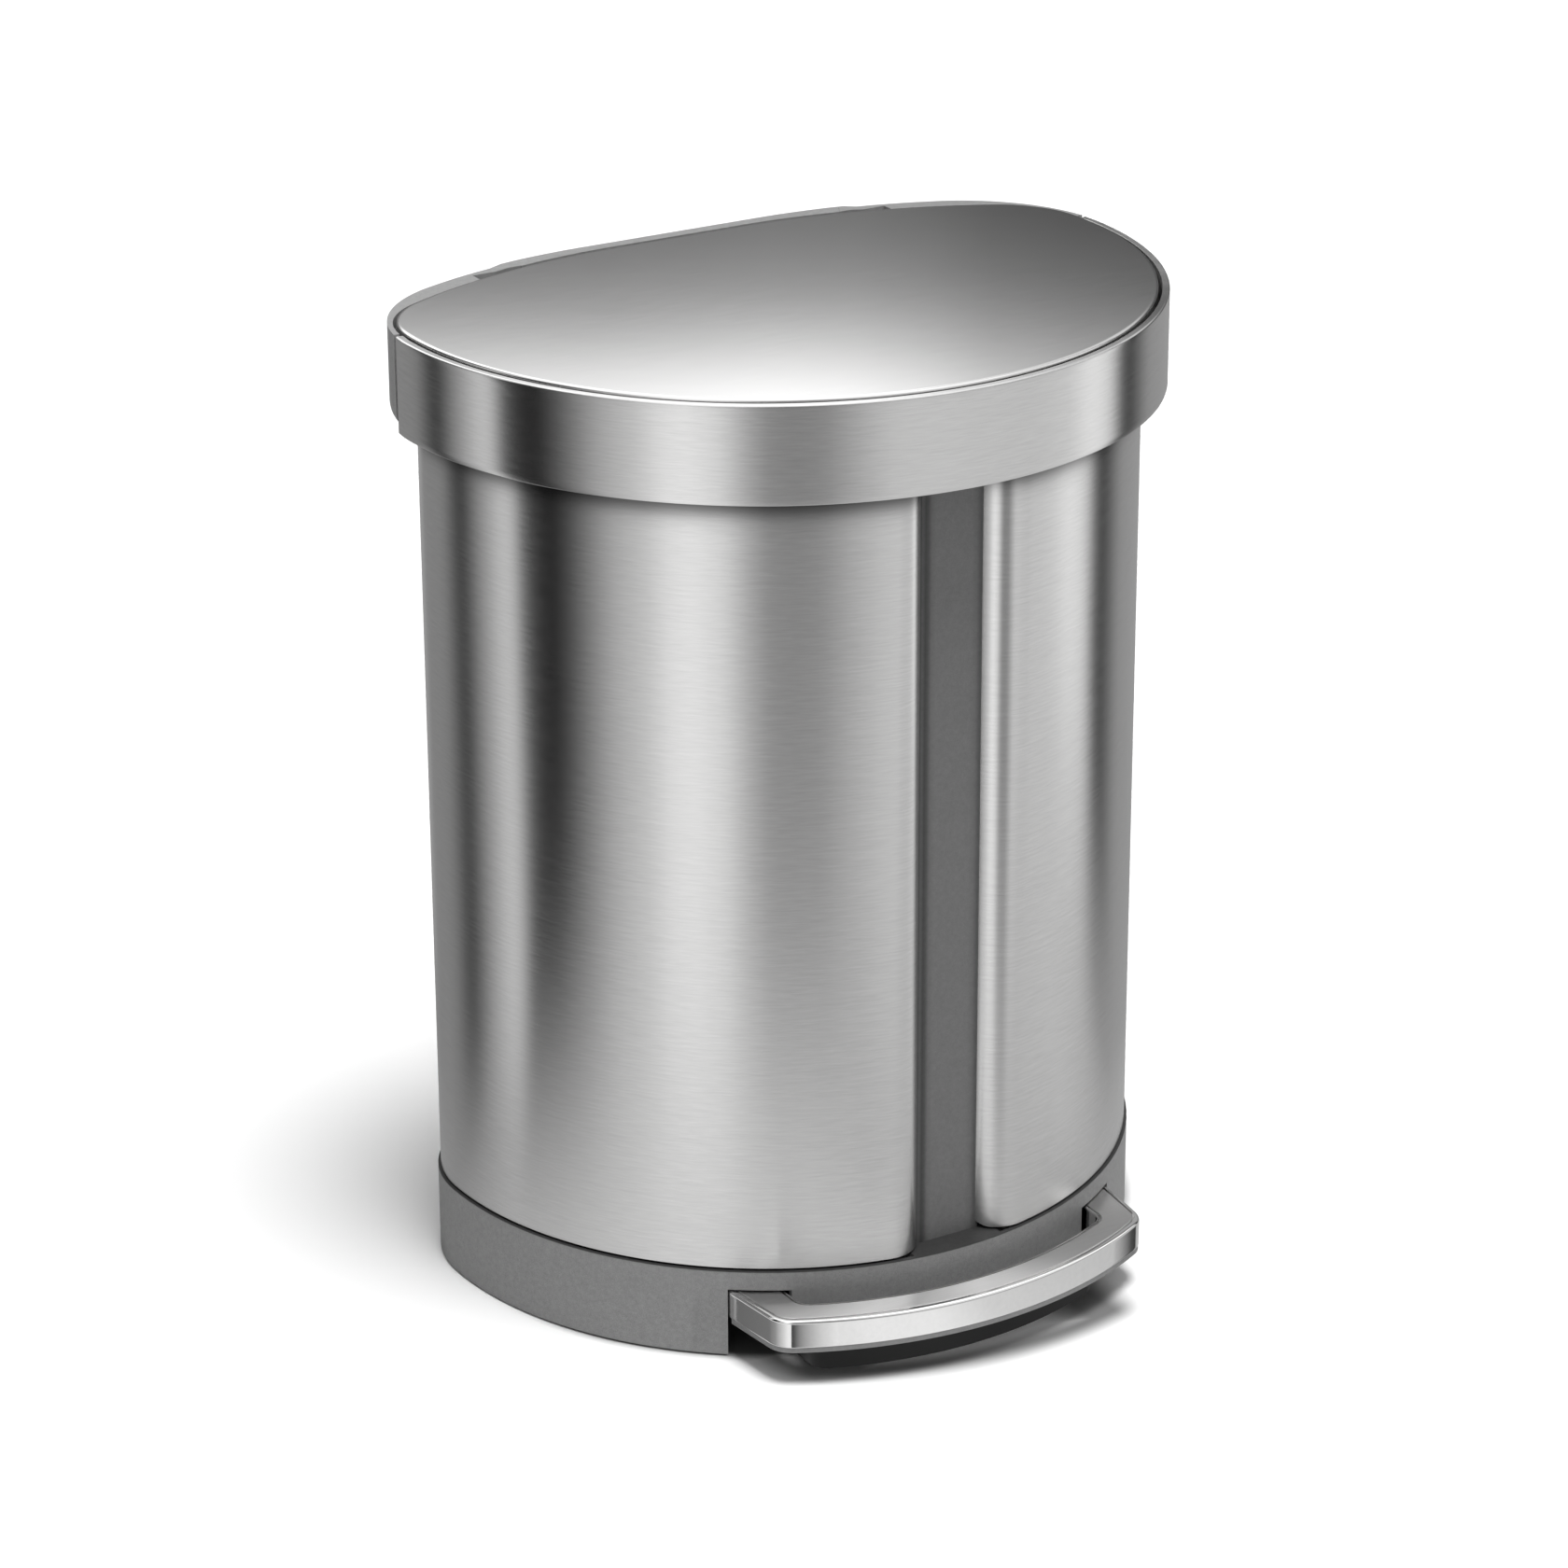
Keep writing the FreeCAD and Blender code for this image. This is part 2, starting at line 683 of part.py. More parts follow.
def span(side, near, far):
    """Give the ends of a stretch along X on one side of the middle, the lower one first."""
    return (near, far) if side > 0 else (f"-({far})", f"-({near})")


def drill(body, places, level, depth, radius, upward=False):
    """Bore round holes through a body."""
    return cut(body, circles(new_sketch(body, level), places, radius), depth, upward)


# ---------------------------------------------------------------- places shared by several pieces

BRACKET_SCREWS = [place
                  for pitch in ("- bracket_screw_pitch / 2", "+ bracket_screw_pitch / 2")
                  for place in both_sides(f"bracket_offset {pitch}", f"{HINGE_Y} + bracket_screw_rear")]
LID_SCREWS = [place
              for inset in ("lid_screw_first", "lid_screw_second")
              for place in both_sides("lid_screw_x", f"{HINGE_Y} - hinge_zone_front - {inset}")]
AXLE_SCREWS = [place
               for reach in ("-", "+")
               for place in both_sides("axle_bracket_inner - axle_flange_width / 2",
                                       f"{AXLE_Y} {reach} axle_bracket_half_length / 2")]
TONGUE_TOP = "(floor_gap + gate_height - rest_gap)"
POST_Y = "(post_size / 2 + base_wall + post_setback + base_inset - rim_front_radius)"
FOOT_SCREWS = both_sides("post_x", POST_Y)
FOOT_PLACES = both_sides("foot_boss_x", "-foot_boss_front") + both_sides("foot_boss_x", "foot_boss_rear")


# ---------------------------------------------------------------- base and feet

def make_base():
    """Plastic base: a skirt, a deck above the lever, foot bosses and the slots of the pedal's arms."""
    body = new_body("base")
    inner = "(base_inset + base_wall)"
    pad(body, plan_outline(new_sketch(body, "floor_gap"), "base_inset"), "base_height - floor_gap")
    cut(body, plan_outline(new_sketch(body, "floor_gap"), inner), "deck_level - floor_gap", upward=True)
    cut(body, plan_outline(new_sketch(body, "base_height"), inner), f"base_height - {DECK_TOP}")
    seat = rectangle(new_sketch(body, DECK_TOP), "-strip_half_width - channel_roll",
                     "strip_half_width + channel_roll", f"{inner} - rim_front_radius - fit_gap",
                     f"{STRIP_FACE_Y} + strip_thickness")
    pad(body, seat, f"base_height - {DECK_TOP}")
    bosses = circles(new_sketch(body, "floor_gap"), FOOT_PLACES, "foot_boss_radius")
    pad(body, bosses, "deck_level - floor_gap")
    drill(body, FOOT_PLACES, "floor_gap", "rubber_foot_height - floor_gap", "rubber_foot_radius", upward=True)
    gate = rectangle(new_sketch(body, "floor_gap"), "-slot_half_width", "slot_half_width",
                     "-rim_front_radius", f"-{PEDAL_ARM_REAR}")
    cut(body, gate, "gate_height", upward=True)
    for side in (-1, 1):
        ends = span(side, "slot_inner_half_width", "slot_half_width")
        slot = rectangle(new_sketch(body, "floor_gap"), *ends, "-rim_front_radius", f"-{PEDAL_ARM_REAR}")
        cut(body, slot, "slot_top - floor_gap", upward=True)
    drill(body, [("0", ROD_Y)], DECK_TOP, None, "rod_hole_radius")
    drill(body, AXLE_SCREWS + FOOT_SCREWS, DECK_TOP, None, SCREW_HOLE)


def make_rubber_feet():
    """Four rubber pads in the bosses of the base."""
    feet = [cylinder("rubber_foot_radius", "rubber_foot_height", x, y, "0") for x, y in FOOT_PLACES]
    group("rubber_feet", feet)


def make_front_foot():
    """Black foot that stops the bin tipping forward: a nose in front of the base wall, a tongue that
    passes under it and two posts up to the deck."""
    body = new_body("front_foot")
    sketch = new_sketch(body)
    nose_radius = f"({BASE_RADIUS} + front_foot_reach)"
    rear_y = f"(front_foot_setback - {BASE_RADIUS})"
    half = value("front_foot_half_width")
    radius = value(nose_radius)
    rear = value(rear_y)
    turn = math.asin(half / radius)
    depth = -radius * math.cos(turn)
    run = Chain(sketch)
    nose = run.arc((0, 0), radius, 1.5 * math.pi - turn, 1.5 * math.pi + turn, nose_radius)
    right = run.line((half, depth), (half, rear))
    back = run.line((half, rear), (-half, rear))
    left = run.line((-half, rear), (-half, depth))
    run.join(corners=(0, 1, 2, 3))
    fix_point(sketch, nose, 3, "0", "0")
    relate(sketch, "Vertical", right)
    relate(sketch, "Vertical", left)
    relate(sketch, "Horizontal", back)
    fix_point(sketch, back, 1, "front_foot_half_width", rear_y)
    size_constraint(sketch, "DistanceX", -1, 1, back, 2, size="-front_foot_half_width")
    block = pad(body, sketch, "front_foot_height")
    bind(block, "TaperAngle", "front_foot_taper")
    doc.recompute()
    height = value("front_foot_height")
    fillet(body, block, lambda b: b.ZLength > height / 2 and b.YMax < (rear + depth) / 2, "front_foot_corner")
    behind = circles(new_sketch(body, TONGUE_TOP), [("0", "0")], f"{BASE_RADIUS} + rest_gap")
    cut(body, behind, upward=True)
    for x, y in FOOT_SCREWS:
        post = rectangle(new_sketch(body, TONGUE_TOP), f"{x} - post_size / 2", f"{x} + post_size / 2",
                         f"{y} - post_size / 2", f"{y} + post_size / 2")
        pad(body, post, f"deck_level - {TONGUE_TOP}")
    drill(body, FOOT_SCREWS, "deck_level", "foot_screw_length - deck_thickness", SCREW_HOLE)


def make_foot_screws():
    """Two screws from the deck down into the posts of the front foot."""
    group("foot_screws", [screw(x, y, DECK_TOP, "foot_screw_length") for x, y in FOOT_SCREWS])


# ---------------------------------------------------------------- body

def make_body_sheet(side, label):
    """One steel sheet of the body, rolled inwards at the front channel."""
    body = new_body(label)
    inner_inset = "(body_inset + sheet_thickness)"
    inner_wall = "channel_half_width + sheet_thickness"
    height = f"{LEDGE_UNDERSIDE} - base_height"
    outer = half_outline(new_sketch(body, "base_height"), side, "body_inset", "channel_half_width",
                         "channel_roll")
    pad(body, outer, height)
    inner = half_outline(new_sketch(body, "base_height"), side, inner_inset, inner_wall,
                         "channel_roll - sheet_thickness")
    cut(body, inner, height, upward=True)
    ends = span(side, "channel_half_width - overrun", "channel_half_width + sheet_thickness")
    wall = rectangle(new_sketch(body, "base_height"), *ends, STRIP_FACE_Y, SHEET_INNER_Y)
    cut(body, wall, height, upward=True)
    cut(body, corner_notch(body, side), "rim_front_radius")


def corner_notch(body, side):
    """Draw what rounds a sheet's lower corner beside the channel, seen from the front."""
    sketch = new_sketch(body, plane="XZ_Plane")
    wall = value("channel_half_width")
    low = value("base_height")
    radius = value("sheet_corner_radius")
    run = Chain(sketch, -side)
    edge = run.line((-wall, low), (-wall, low + radius))
    run.arc((-wall - radius, low + radius), radius, -math.pi / 2, 0, "sheet_corner_radius", clockwise=True)
    foot = run.line((-wall - radius, low), (-wall, low))
    run.join(corners=(2,))
    relate(sketch, "Vertical", edge)
    relate(sketch, "Horizontal", foot)
    fix_point(sketch, edge, 1, f"{side} * channel_half_width", "base_height")
    return sketch


def make_channel_strip():
    """Plastic strip at the bottom of the channel between the two sheets."""
    body = new_body("channel_strip")
    face = rectangle(new_sketch(body, "base_height"), "-strip_half_width", "strip_half_width",
                     STRIP_FACE_Y, f"{STRIP_FACE_Y} + strip_thickness")
    pad(body, face, f"{LEDGE_UNDERSIDE} - base_height")


def make_back_channel():
    """Plastic spine inside the back, which covers the gap between the sheets and houses the rod."""
    body = new_body("back_channel")
    height = f"{LEDGE_UNDERSIDE} - {DECK_TOP}"
    front = f"{SPINE_BACK_Y} - rear_channel_depth"
    section = [("-rear_channel_half_width", front),
               ("rear_channel_rib - rear_channel_half_width", front),
               ("rear_channel_rib - rear_channel_half_width", f"{SPINE_BACK_Y} - channel_plate"),
               ("rear_channel_half_width - rear_channel_rib", f"{SPINE_BACK_Y} - channel_plate"),
               ("rear_channel_half_width - rear_channel_rib", front),
               ("rear_channel_half_width", front),
               ("rear_channel_half_width", SPINE_BACK_Y),
               ("-rear_channel_half_width", SPINE_BACK_Y)]
    pad(body, polygon(new_sketch(body, DECK_TOP), section), height)


def make_rod_guides():
    """Three guide blocks on the spine, with a running bore for the push rod."""
    guides = []
    for k in range(3):
        level = f"(guide_first + ({GUIDE_TOP} - guide_height - guide_first) * {k} / 2)"
        block = box(("-guide_half_width", f"{ROD_Y} - rod_radius - guide_margin", level),
                    ("guide_half_width", f"{SPINE_BACK_Y} - channel_plate", f"{level} + guide_height"))
        bore = cylinder("rod_radius + guide_gap", "guide_height", "0", ROD_Y, level)
        guides.append(difference(block, bore))
    group("rod_guides", guides)


# ---------------------------------------------------------------- rim

def cover_edge(y, gap):
    """Give how far from the middle the cover's slanted end lies at a depth, with a gap beyond it."""
    return f"(cover_half_width + cover_skew * (({y}) - {HINGE_Y}) / hinge_inset + {gap})"


def cover_space(sketch, gap, front):
    """Draw the space that the hinge cover takes, from a depth to past the back of the rim."""
    back = "rim_back_depth + overrun"
    return polygon(sketch, [(f"-{cover_edge(front, gap)}", front), (cover_edge(front, gap), front),
                            (cover_edge(back, gap), back), (f"-{cover_edge(back, gap)}", back)])


def make_rim_frame():
    """Plastic rim: the outer wall behind the steel band, the ledge and the sockets of the sheets."""
    body = new_body("rim_frame")
    behind_band = "(band_thickness + fit_gap / 2)"
    groove_outer = f"({behind_band} + rim_wall)"
    groove_inner = "(body_inset - fit_gap - rim_inner_wall)"
    chord = "band_return + fit_gap"
    rear = pad(body, rear_outline(new_sketch(body, RIM_BOTTOM), "0", chord), "rim_height + plateau_rise")
    bottom = value(RIM_BOTTOM)
    front = value(chord)
    fillet(body, rear, lambda b: b.ZMax < bottom + NEAR and b.YMin > front - NEAR and b.YMax > front + NEAR,
           "rim_rear_roll")
    core = front_outline(new_sketch(body, RIM_BOTTOM), behind_band, chord)
    pad(body, core, "rim_height - band_flange - fit_gap / 2")
    for side in (-1, 1):
        slope = [(f"{side} * plateau_half_width", "can_height + plateau_rise"),
                 (f"{side} * (plateau_half_width + plateau_run)", "can_height"),
                 (f"{side} * 2 * rim_front_radius", "can_height"),
                 (f"{side} * 2 * rim_front_radius", "can_height + plateau_rise")]
        cut(body, polygon(new_sketch(body, plane="XZ_Plane"), slope), both_ways=True)
    shelf = "(can_height - shelf_thickness)"
    cut(body, plan_outline(new_sketch(body, LEDGE_TOP), "rim_top_width"), "well_depth - shelf_thickness",
        upward=True)
    cut(body, lid_outline(new_sketch(body, shelf), "(0 - lid_gap)"), upward=True)
    for level, half_width in ((HINGE_Z, "relief_half_width"), (shelf, "relief_deep_half_width")):
        relief = rectangle(new_sketch(body, level), f"-{half_width}", half_width,
                           "0", f"{HINGE_Y} + relief_reach")
        cut(body, relief, upward=True)
    cut(body, cover_space(new_sketch(body, shelf), "fit_gap", HINGE_Y), upward=True)
    cut(body, front_outline(new_sketch(body, LEDGE_TOP), "ledge_inset", "ledge_rear"))
    groove = plan_outline(new_sketch(body, f"{RIM_BOTTOM} + rim_lip"), groove_outer)
    cut(body, plan_outline(groove, groove_inner), f"{LEDGE_UNDERSIDE} - {RIM_BOTTOM} - rim_lip", upward=True)
    slot = plan_outline(new_sketch(body, RIM_BOTTOM), "rim_lip_reach")
    cut(body, plan_outline(slot, groove_inner), "rim_lip", upward=True)
    socket = plan_outline(new_sketch(body, RIM_BOTTOM), "(body_inset - fit_gap)")
    cut(body, socket, f"{LEDGE_UNDERSIDE} - {RIM_BOTTOM}", upward=True)
    crank_hole = rectangle(new_sketch(body, LEDGE_TOP), f"-{CRANK_HALF_WIDTH} - crank_hole_gap",
                           f"{CRANK_HALF_WIDTH} + crank_hole_gap", "bucket_lip_back + fit_gap",
                           f"{HINGE_Y} - crank_hole_rear")
    cut(body, crank_hole, "ledge_thickness")
    window = cover_space(new_sketch(body, "can_height - cover_height"), "fit_gap",
                         "rim_back_depth - cover_lip - fit_gap")
    cut(body, window, upward=True)
    drill(body, BRACKET_SCREWS, LEDGE_TOP, "ledge_thickness", SCREW_HOLE)


def make_rim_band():
    """Steel band round the front and sides of the rim, with a narrow flange turned in at the top."""
    body = new_body("rim_band")
    outer = pad(body, front_outline(new_sketch(body, RIM_BOTTOM), "0", "band_return"), "rim_height")
    top = value("can_height")
    chamfer = body.newObject("PartDesign::Chamfer", "band_edge")
    long_edges = edges_where(outer, lambda b: b.ZMin > top - NEAR and b.YMin < value("band_return") - NEAR)
    chamfer.Base = (outer, long_edges)
    bind(chamfer, "Size", "band_chamfer")
    doc.recompute()
    inside = plan_outline(new_sketch(body, RIM_BOTTOM), "band_thickness")
    cut(body, inside, "rim_height - band_flange", upward=True)
    mouth = plan_outline(new_sketch(body, RIM_BOTTOM), "rim_top_width")
    cut(body, mouth, "rim_height", upward=True)


def make_hinge_cover():
    """Plastic cap over the hinge at the back of the rim."""
    body = new_body("hinge_cover")
    level = "can_height - cover_height"
    height = "cover_height + plateau_rise"
    pad(body, plan_outline(new_sketch(body, level), "0"), height)
    cut(body, plan_outline(new_sketch(body, level), "cover_wall"), f"{height} - cover_wall", upward=True)
    far = "(rim_front_radius + overrun)"
    back = "rim_back_depth + overrun"
    front = rectangle(new_sketch(body, level), f"-{far}", far, f"-{far}", HINGE_Y)
    cut(body, front, height, upward=True)
    cut(body, lid_outline(new_sketch(body, level), "(0 - cover_gap)"), height, upward=True)
    for side in (-1, 1):
        flank = polygon(new_sketch(body, level), [
            (f"{side} * {cover_edge(HINGE_Y, 0)}", HINGE_Y), (f"{side} * {far}", HINGE_Y),
            (f"{side} * {far}", back), (f"{side} * {cover_edge(back, 0)}", back)])
        cut(body, flank, height, upward=True)


def make_lid_bumpers():
    """Four rubber pads on the ledge that the edge of the closed lid comes down on."""
    reach = "(rim_front_radius - bumper_inset)"
    height = f"{LID_UNDERSIDE} - panel_depth - {LEDGE_TOP} - rest_gap"
    pads = []
    near = f"({reach} - bumper_front_setback)"
    far = f"({reach} - bumper_side_setback)"
    places = both_sides(f"sqrt({reach} ^ 2 - {near} ^ 2)", f"-{near}")
    places += both_sides(far, f"-sqrt({reach} ^ 2 - {far} ^ 2)")
    for x, y in places:
        pads.append(cylinder("bumper_radius", height, x, y, LEDGE_TOP))
    group("lid_bumpers", pads)


# ---------------------------------------------------------------- buckets

def make_bucket(side, label):
    """One removable inner bucket that hangs by its lip on the ledge."""
    body = new_body(label)
    floor = f"({DECK_TOP} + bucket_lift)"
    inner_inset = "(bucket_inset + bucket_wall)"
    outer = bucket_outline(new_sketch(body, floor), side, "bucket_inset", "bucket_divide", "bucket_back", "0")
    pad(body, outer, f"{LEDGE_TOP} - {floor}")
    lip = bucket_outline(new_sketch(body, LEDGE_TOP), side, "bucket_lip_inset", "bucket_lip_divide",
                         "bucket_lip_back", "0")
    pad(body, lip, "bucket_lip_thickness")
    hollow = bucket_outline(new_sketch(body, f"{floor} + bucket_floor"), side, inner_inset,
                            "bucket_divide + bucket_wall", "bucket_back - bucket_wall", "bucket_wall")
    cut(body, hollow, upward=True)


# ---------------------------------------------------------------- hinge

def ring_on_pin(body, offset, width, radius):
    """Add an eye round the hinge pin at an offset along it."""
    sketch = circles(new_sketch(body, f"{offset} - {width} / 2", "YZ_Plane"), [(HINGE_Y, HINGE_Z)], radius)
    return pad(body, sketch, width)


def bore_for_pin(body):
    """Bore a body along the hinge pin."""
    sketch = circles(new_sketch(body, plane="YZ_Plane"), [(HINGE_Y, HINGE_Z)], "pin_radius + running_gap")
    return cut(body, sketch, both_ways=True)


def make_hinge_bracket(side, label):
    """Upright on the ledge that holds one end of the hinge pin."""
    body = new_body(label)
    centre = f"({side} * bracket_offset)"
    foot = rectangle(new_sketch(body, LEDGE_TOP), f"{centre} - bracket_foot_width / 2",
                     f"{centre} + bracket_foot_width / 2", f"{HINGE_Y} - bracket_foot_front",
                     f"{HINGE_Y} + bracket_foot_rear")
    pad(body, foot, "bracket_foot_thickness")
    post = rectangle(new_sketch(body, f"{centre} - bracket_width / 2", "YZ_Plane"),
                     f"{HINGE_Y} - eye_radius", f"{HINGE_Y} + bracket_post_rear", LEDGE_TOP, HINGE_Z)
    pad(body, post, "bracket_width")
    ring_on_pin(body, centre, "bracket_width", "eye_radius")
    bore_for_pin(body)
    drill(body, [(x, y) for x, y in BRACKET_SCREWS if value(x) * side > 0],
          f"{LEDGE_TOP} + bracket_foot_thickness", "bracket_foot_thickness", SCREW_HOLE)


def make_hinge_screws():
    """Four screws that hold the brackets to the ledge."""
    seat = f"{LEDGE_TOP} + bracket_foot_thickness"
    length = "bracket_foot_thickness + ledge_thickness"
    group("hinge_screws", [screw(x, y, seat, length) for x, y in BRACKET_SCREWS])


def make_hinge_pin():
    """Steel pin that the lid turns on."""
    pin = cylinder("pin_radius", "2 * pin_half_length", "-pin_half_length", HINGE_Y, HINGE_Z, lengthwise=True)
    keep(pin, "hinge_pin", HINGE_Y)


# ---------------------------------------------------------------- lid

def make_lid_skin():
    """Brushed steel lid with a rolled edge turned down all round."""
    body = new_body("lid_skin")
    bottom = f"({LID_TOP} - lid_edge_depth)"
    plate = pad(body, lid_outline(new_sketch(body, bottom), "0"), "lid_edge_depth")
    top = value(LID_TOP)
    fillet(body, plate, lambda b: b.ZMin > top - NEAR, "lid_edge_roll")
    cut(body, lid_outline(new_sketch(body, bottom), "lid_sheet"), "lid_edge_depth - lid_sheet", upward=True)
    relief = rectangle(new_sketch(body, bottom), "-hinge_zone_half_width", "hinge_zone_half_width",
                       f"{HINGE_Y} - eye_radius", "rim_back_depth")
    cut(body, relief, f"{HINGE_Z} + hinge_zone_clearance - {bottom}", upward=True)


def make_lid_panel():
    """Plastic inner panel of the lid, open behind where the hinge sits."""
    body = new_body("lid_panel")
    bottom = f"({LID_UNDERSIDE} - panel_depth)"
    pad(body, lid_outline(new_sketch(body, bottom), "lid_sheet"), "panel_depth")
    cut(body, lid_outline(new_sketch(body, bottom), "(lid_sheet + panel_wall)"), "panel_depth - panel_plate",
        upward=True)
    hinge_zone = rectangle(new_sketch(body, bottom), "-hinge_zone_half_width", "hinge_zone_half_width",
                           f"{HINGE_Y} - hinge_zone_front", "rim_back_depth")
    cut(body, hinge_zone, "panel_depth", upward=True)
    drill(body, LID_SCREWS, LID_UNDERSIDE, "panel_plate", SCREW_HOLE)


def make_lid_hinge():
    """Hinge plate under the lid, with two eyes on the pin and the two cheeks of the crank."""
    body = new_body("lid_hinge")
    plate_top = PANEL_UNDERSIDE
    plate_bottom = f"({PANEL_UNDERSIDE} - hinge_plate_thickness)"
    rear = f"({HINGE_Y} - hinge_zone_front)"
    plate = rectangle(new_sketch(body, plate_bottom), "-hinge_plate_half_width", "hinge_plate_half_width",
                      f"{rear} - hinge_plate_depth", rear)
    pad(body, plate, "hinge_plate_thickness")
    for side in (-1, 1):
        centre = f"({side} * arm_offset)"
        arm = rectangle(new_sketch(body, f"{centre} - arm_width / 2", "YZ_Plane"),
                        f"{rear} - hinge_zone_front", HINGE_Y, f"{HINGE_Z} - arm_drop", plate_top)
        pad(body, arm, "arm_width")
        ring_on_pin(body, centre, "arm_width", "eye_radius")
    for start in (f"-{CRANK_HALF_WIDTH}", CRANK_HALF_GAP):
        cheek = polygon(new_sketch(body, start, "YZ_Plane"),
                        [(f"{CRANK_Y} - crank_half_width", CRANK_Z),
                         (f"{CRANK_Y} + crank_half_width", CRANK_Z),
                         (rear, f"{HINGE_Z} - crank_half_width"),
                         (rear, plate_top),
                         (f"{CRANK_Y} - crank_half_width", plate_top)])
        pad(body, cheek, "crank_cheek")
        boss = circles(new_sketch(body, start, "YZ_Plane"), [(CRANK_Y, CRANK_Z)], "crank_half_width")
        pad(body, boss, "crank_cheek")
    bore_for_pin(body)
    pin_bore = circles(new_sketch(body, plane="YZ_Plane"), [(CRANK_Y, CRANK_Z)],
                       "crank_pin_radius + running_gap")
    cut(body, pin_bore, f"2 * {CRANK_HALF_WIDTH} + overrun", both_ways=True)
    drill(body, LID_SCREWS, plate_top, "hinge_plate_thickness", SCREW_HOLE)


def make_crank_pin():
    """Pin through the crank's cheeks, which rides in the slot of the rod head."""
    pin = cylinder("crank_pin_radius", f"2 * {CRANK_HALF_WIDTH}", f"-{CRANK_HALF_WIDTH}", CRANK_Y, CRANK_Z,
                   lengthwise=True)
    keep(pin, "crank_pin", CRANK_Y)


def make_lid_screws():
    """Four screws from the hinge plate up into the lid panel."""
    seat = f"{PANEL_UNDERSIDE} - hinge_plate_thickness"
    length = "hinge_plate_thickness + panel_plate"
    group("lid_screws", [screw(x, y, seat, length, head_up=False) for x, y in LID_SCREWS])


# ---------------------------------------------------------------- push rod and damper

def make_push_rod():
    """Upright steel rod at the back."""
    bottom = f"({ROD_FOOT_Z} + rod_foot_radius)"
    top = f"({CRANK_Z} - rod_head_neck + rod_head_grip)"
    keep(cylinder("rod_radius", f"{top} - {bottom}", "0", ROD_Y, bottom), "push_rod", ROD_Y)


def turned(label, x, y, profile):
    """Turn a profile of radius and height pairs about an upright axis."""
    body = new_body(label)
    sketch = polygon(new_sketch(body, plane="XZ_Plane"), profile)
    turn = body.newObject("PartDesign::Revolution", f"{label}_turn")
    turn.Profile = sketch
    turn.ReferenceAxis = (sketch, ["V_Axis"])
    turn.Angle = 360
    bind(body, "Placement.Base.x", x)
    bind(body, "Placement.Base.y", f"{ORIGIN_SHIFT} + {y}")
    doc.recompute()
    return body


def make_rod_foot():
    """Round-ended plastic foot that stands on the lever's rear pad."""
    centre = f"({ROD_FOOT_Z} + rod_foot_radius)"
    sleeve = cylinder("rod_foot_radius", "rod_foot_height", "0", ROD_Y, centre)
    ball = doc.addObject("Part::Sphere", "Ball")
    bind(ball, "Radius", "rod_foot_radius")
    bind(ball, "Placement.Base.y", ROD_Y)
    bind(ball, "Placement.Base.z", centre)
    bore = cylinder("rod_radius + running_gap", "rod_foot_height", "0", ROD_Y, centre)
    keep(difference(union(sleeve, ball), bore), "rod_foot")


def make_rod_head():
    """Slotted head of the push rod, between the cheeks of the crank."""
    body = new_body("rod_head")
    slot_front = f"({CRANK_FAR_Y} - crank_pin_radius - slot_gap)"
    slot_rear = f"({CRANK_Y} + crank_pin_radius + slot_gap)"
    slot_low = f"({CRANK_Z} - crank_pin_radius - slot_gap)"
    slot_high = f"({CRANK_Z} + crank_pin_radius + slot_gap)"
    bottom = f"({CRANK_Z} - rod_head_neck)"
    block = rectangle(new_sketch(body, plane="YZ_Plane"), f"{slot_front} - rod_head_wall",
                      f"{slot_rear} + rod_head_wall", bottom, f"{slot_high} + rod_head_wall")
    pad(body, block, "rod_head_thickness", both_ways=True)
    slot = rectangle(new_sketch(body, plane="YZ_Plane"), slot_front, slot_rear, slot_low, slot_high)
    cut(body, slot, "2 * rod_head_thickness", both_ways=True)
    drill(body, [("0", ROD_Y)], bottom, "rod_head_grip", "rod_radius + running_gap", upward=True)


def make_rod_yoke():
    """Plate that ties the damper's rod to the push rod."""
    top = "yoke_level + yoke_height"
    rod_bore = "rod_radius + running_gap"
    damper_bore = "damper_rod_radius + running_gap"
    plate = box(("-rod_radius - yoke_margin", f"{ROD_Y} - rod_radius - yoke_margin", "yoke_level"),
                (f"damper_x + {damper_bore} + yoke_margin", f"{DAMPER_Y} + {damper_bore} + yoke_margin", top))
    bores = union(cylinder(rod_bore, "yoke_height", "0", ROD_Y, "yoke_level"),
                  cylinder(damper_bore, "yoke_height", "damper_x", DAMPER_Y, "yoke_level"))
    keep(difference(plate, bores), "rod_yoke")


def make_damper_body():
    """Closed cylinder of the damper that lets the lid down slowly."""
    top = "(damper_level + damper_length)"
    bore = "damper_radius - damper_wall"
    neck = "damper_rod_radius + guide_gap"
    turned("damper_body", "damper_x", DAMPER_Y,
           [("0", "damper_level"), ("damper_radius", "damper_level"), ("damper_radius", top), (neck, top),
            (neck, f"{top} - damper_end"), (bore, f"{top} - damper_end"),
            (bore, "damper_level + damper_end"), ("0", "damper_level + damper_end")])


def make_damper_piston():
    """Piston and rod of the damper."""
    low = "(damper_level + damper_end + piston_rise)"
    piston = "damper_radius - damper_wall - guide_gap"
    turned("damper_piston", "damper_x", DAMPER_Y,
           [("0", low), (piston, low), (piston, f"{low} + piston_height"),
            ("damper_rod_radius", f"{low} + piston_height"),
            ("damper_rod_radius", "yoke_level + yoke_height"),
            ("0", "yoke_level + yoke_height")])


def make_damper_clip():
    """Clip that holds the damper to the spine."""
    half = "(damper_radius + clip_margin)"
    level = "damper_level + damper_radius"
    block = box((f"damper_x - {half}", f"{DAMPER_Y} - {half}", level),
                (f"damper_x + {half}", f"{SPINE_BACK_Y} - channel_plate", f"{level} + clip_height"))
    bore = cylinder("damper_radius + running_gap", "clip_height", "damper_x", DAMPER_Y, level)
    keep(difference(block, bore), "damper_clip")


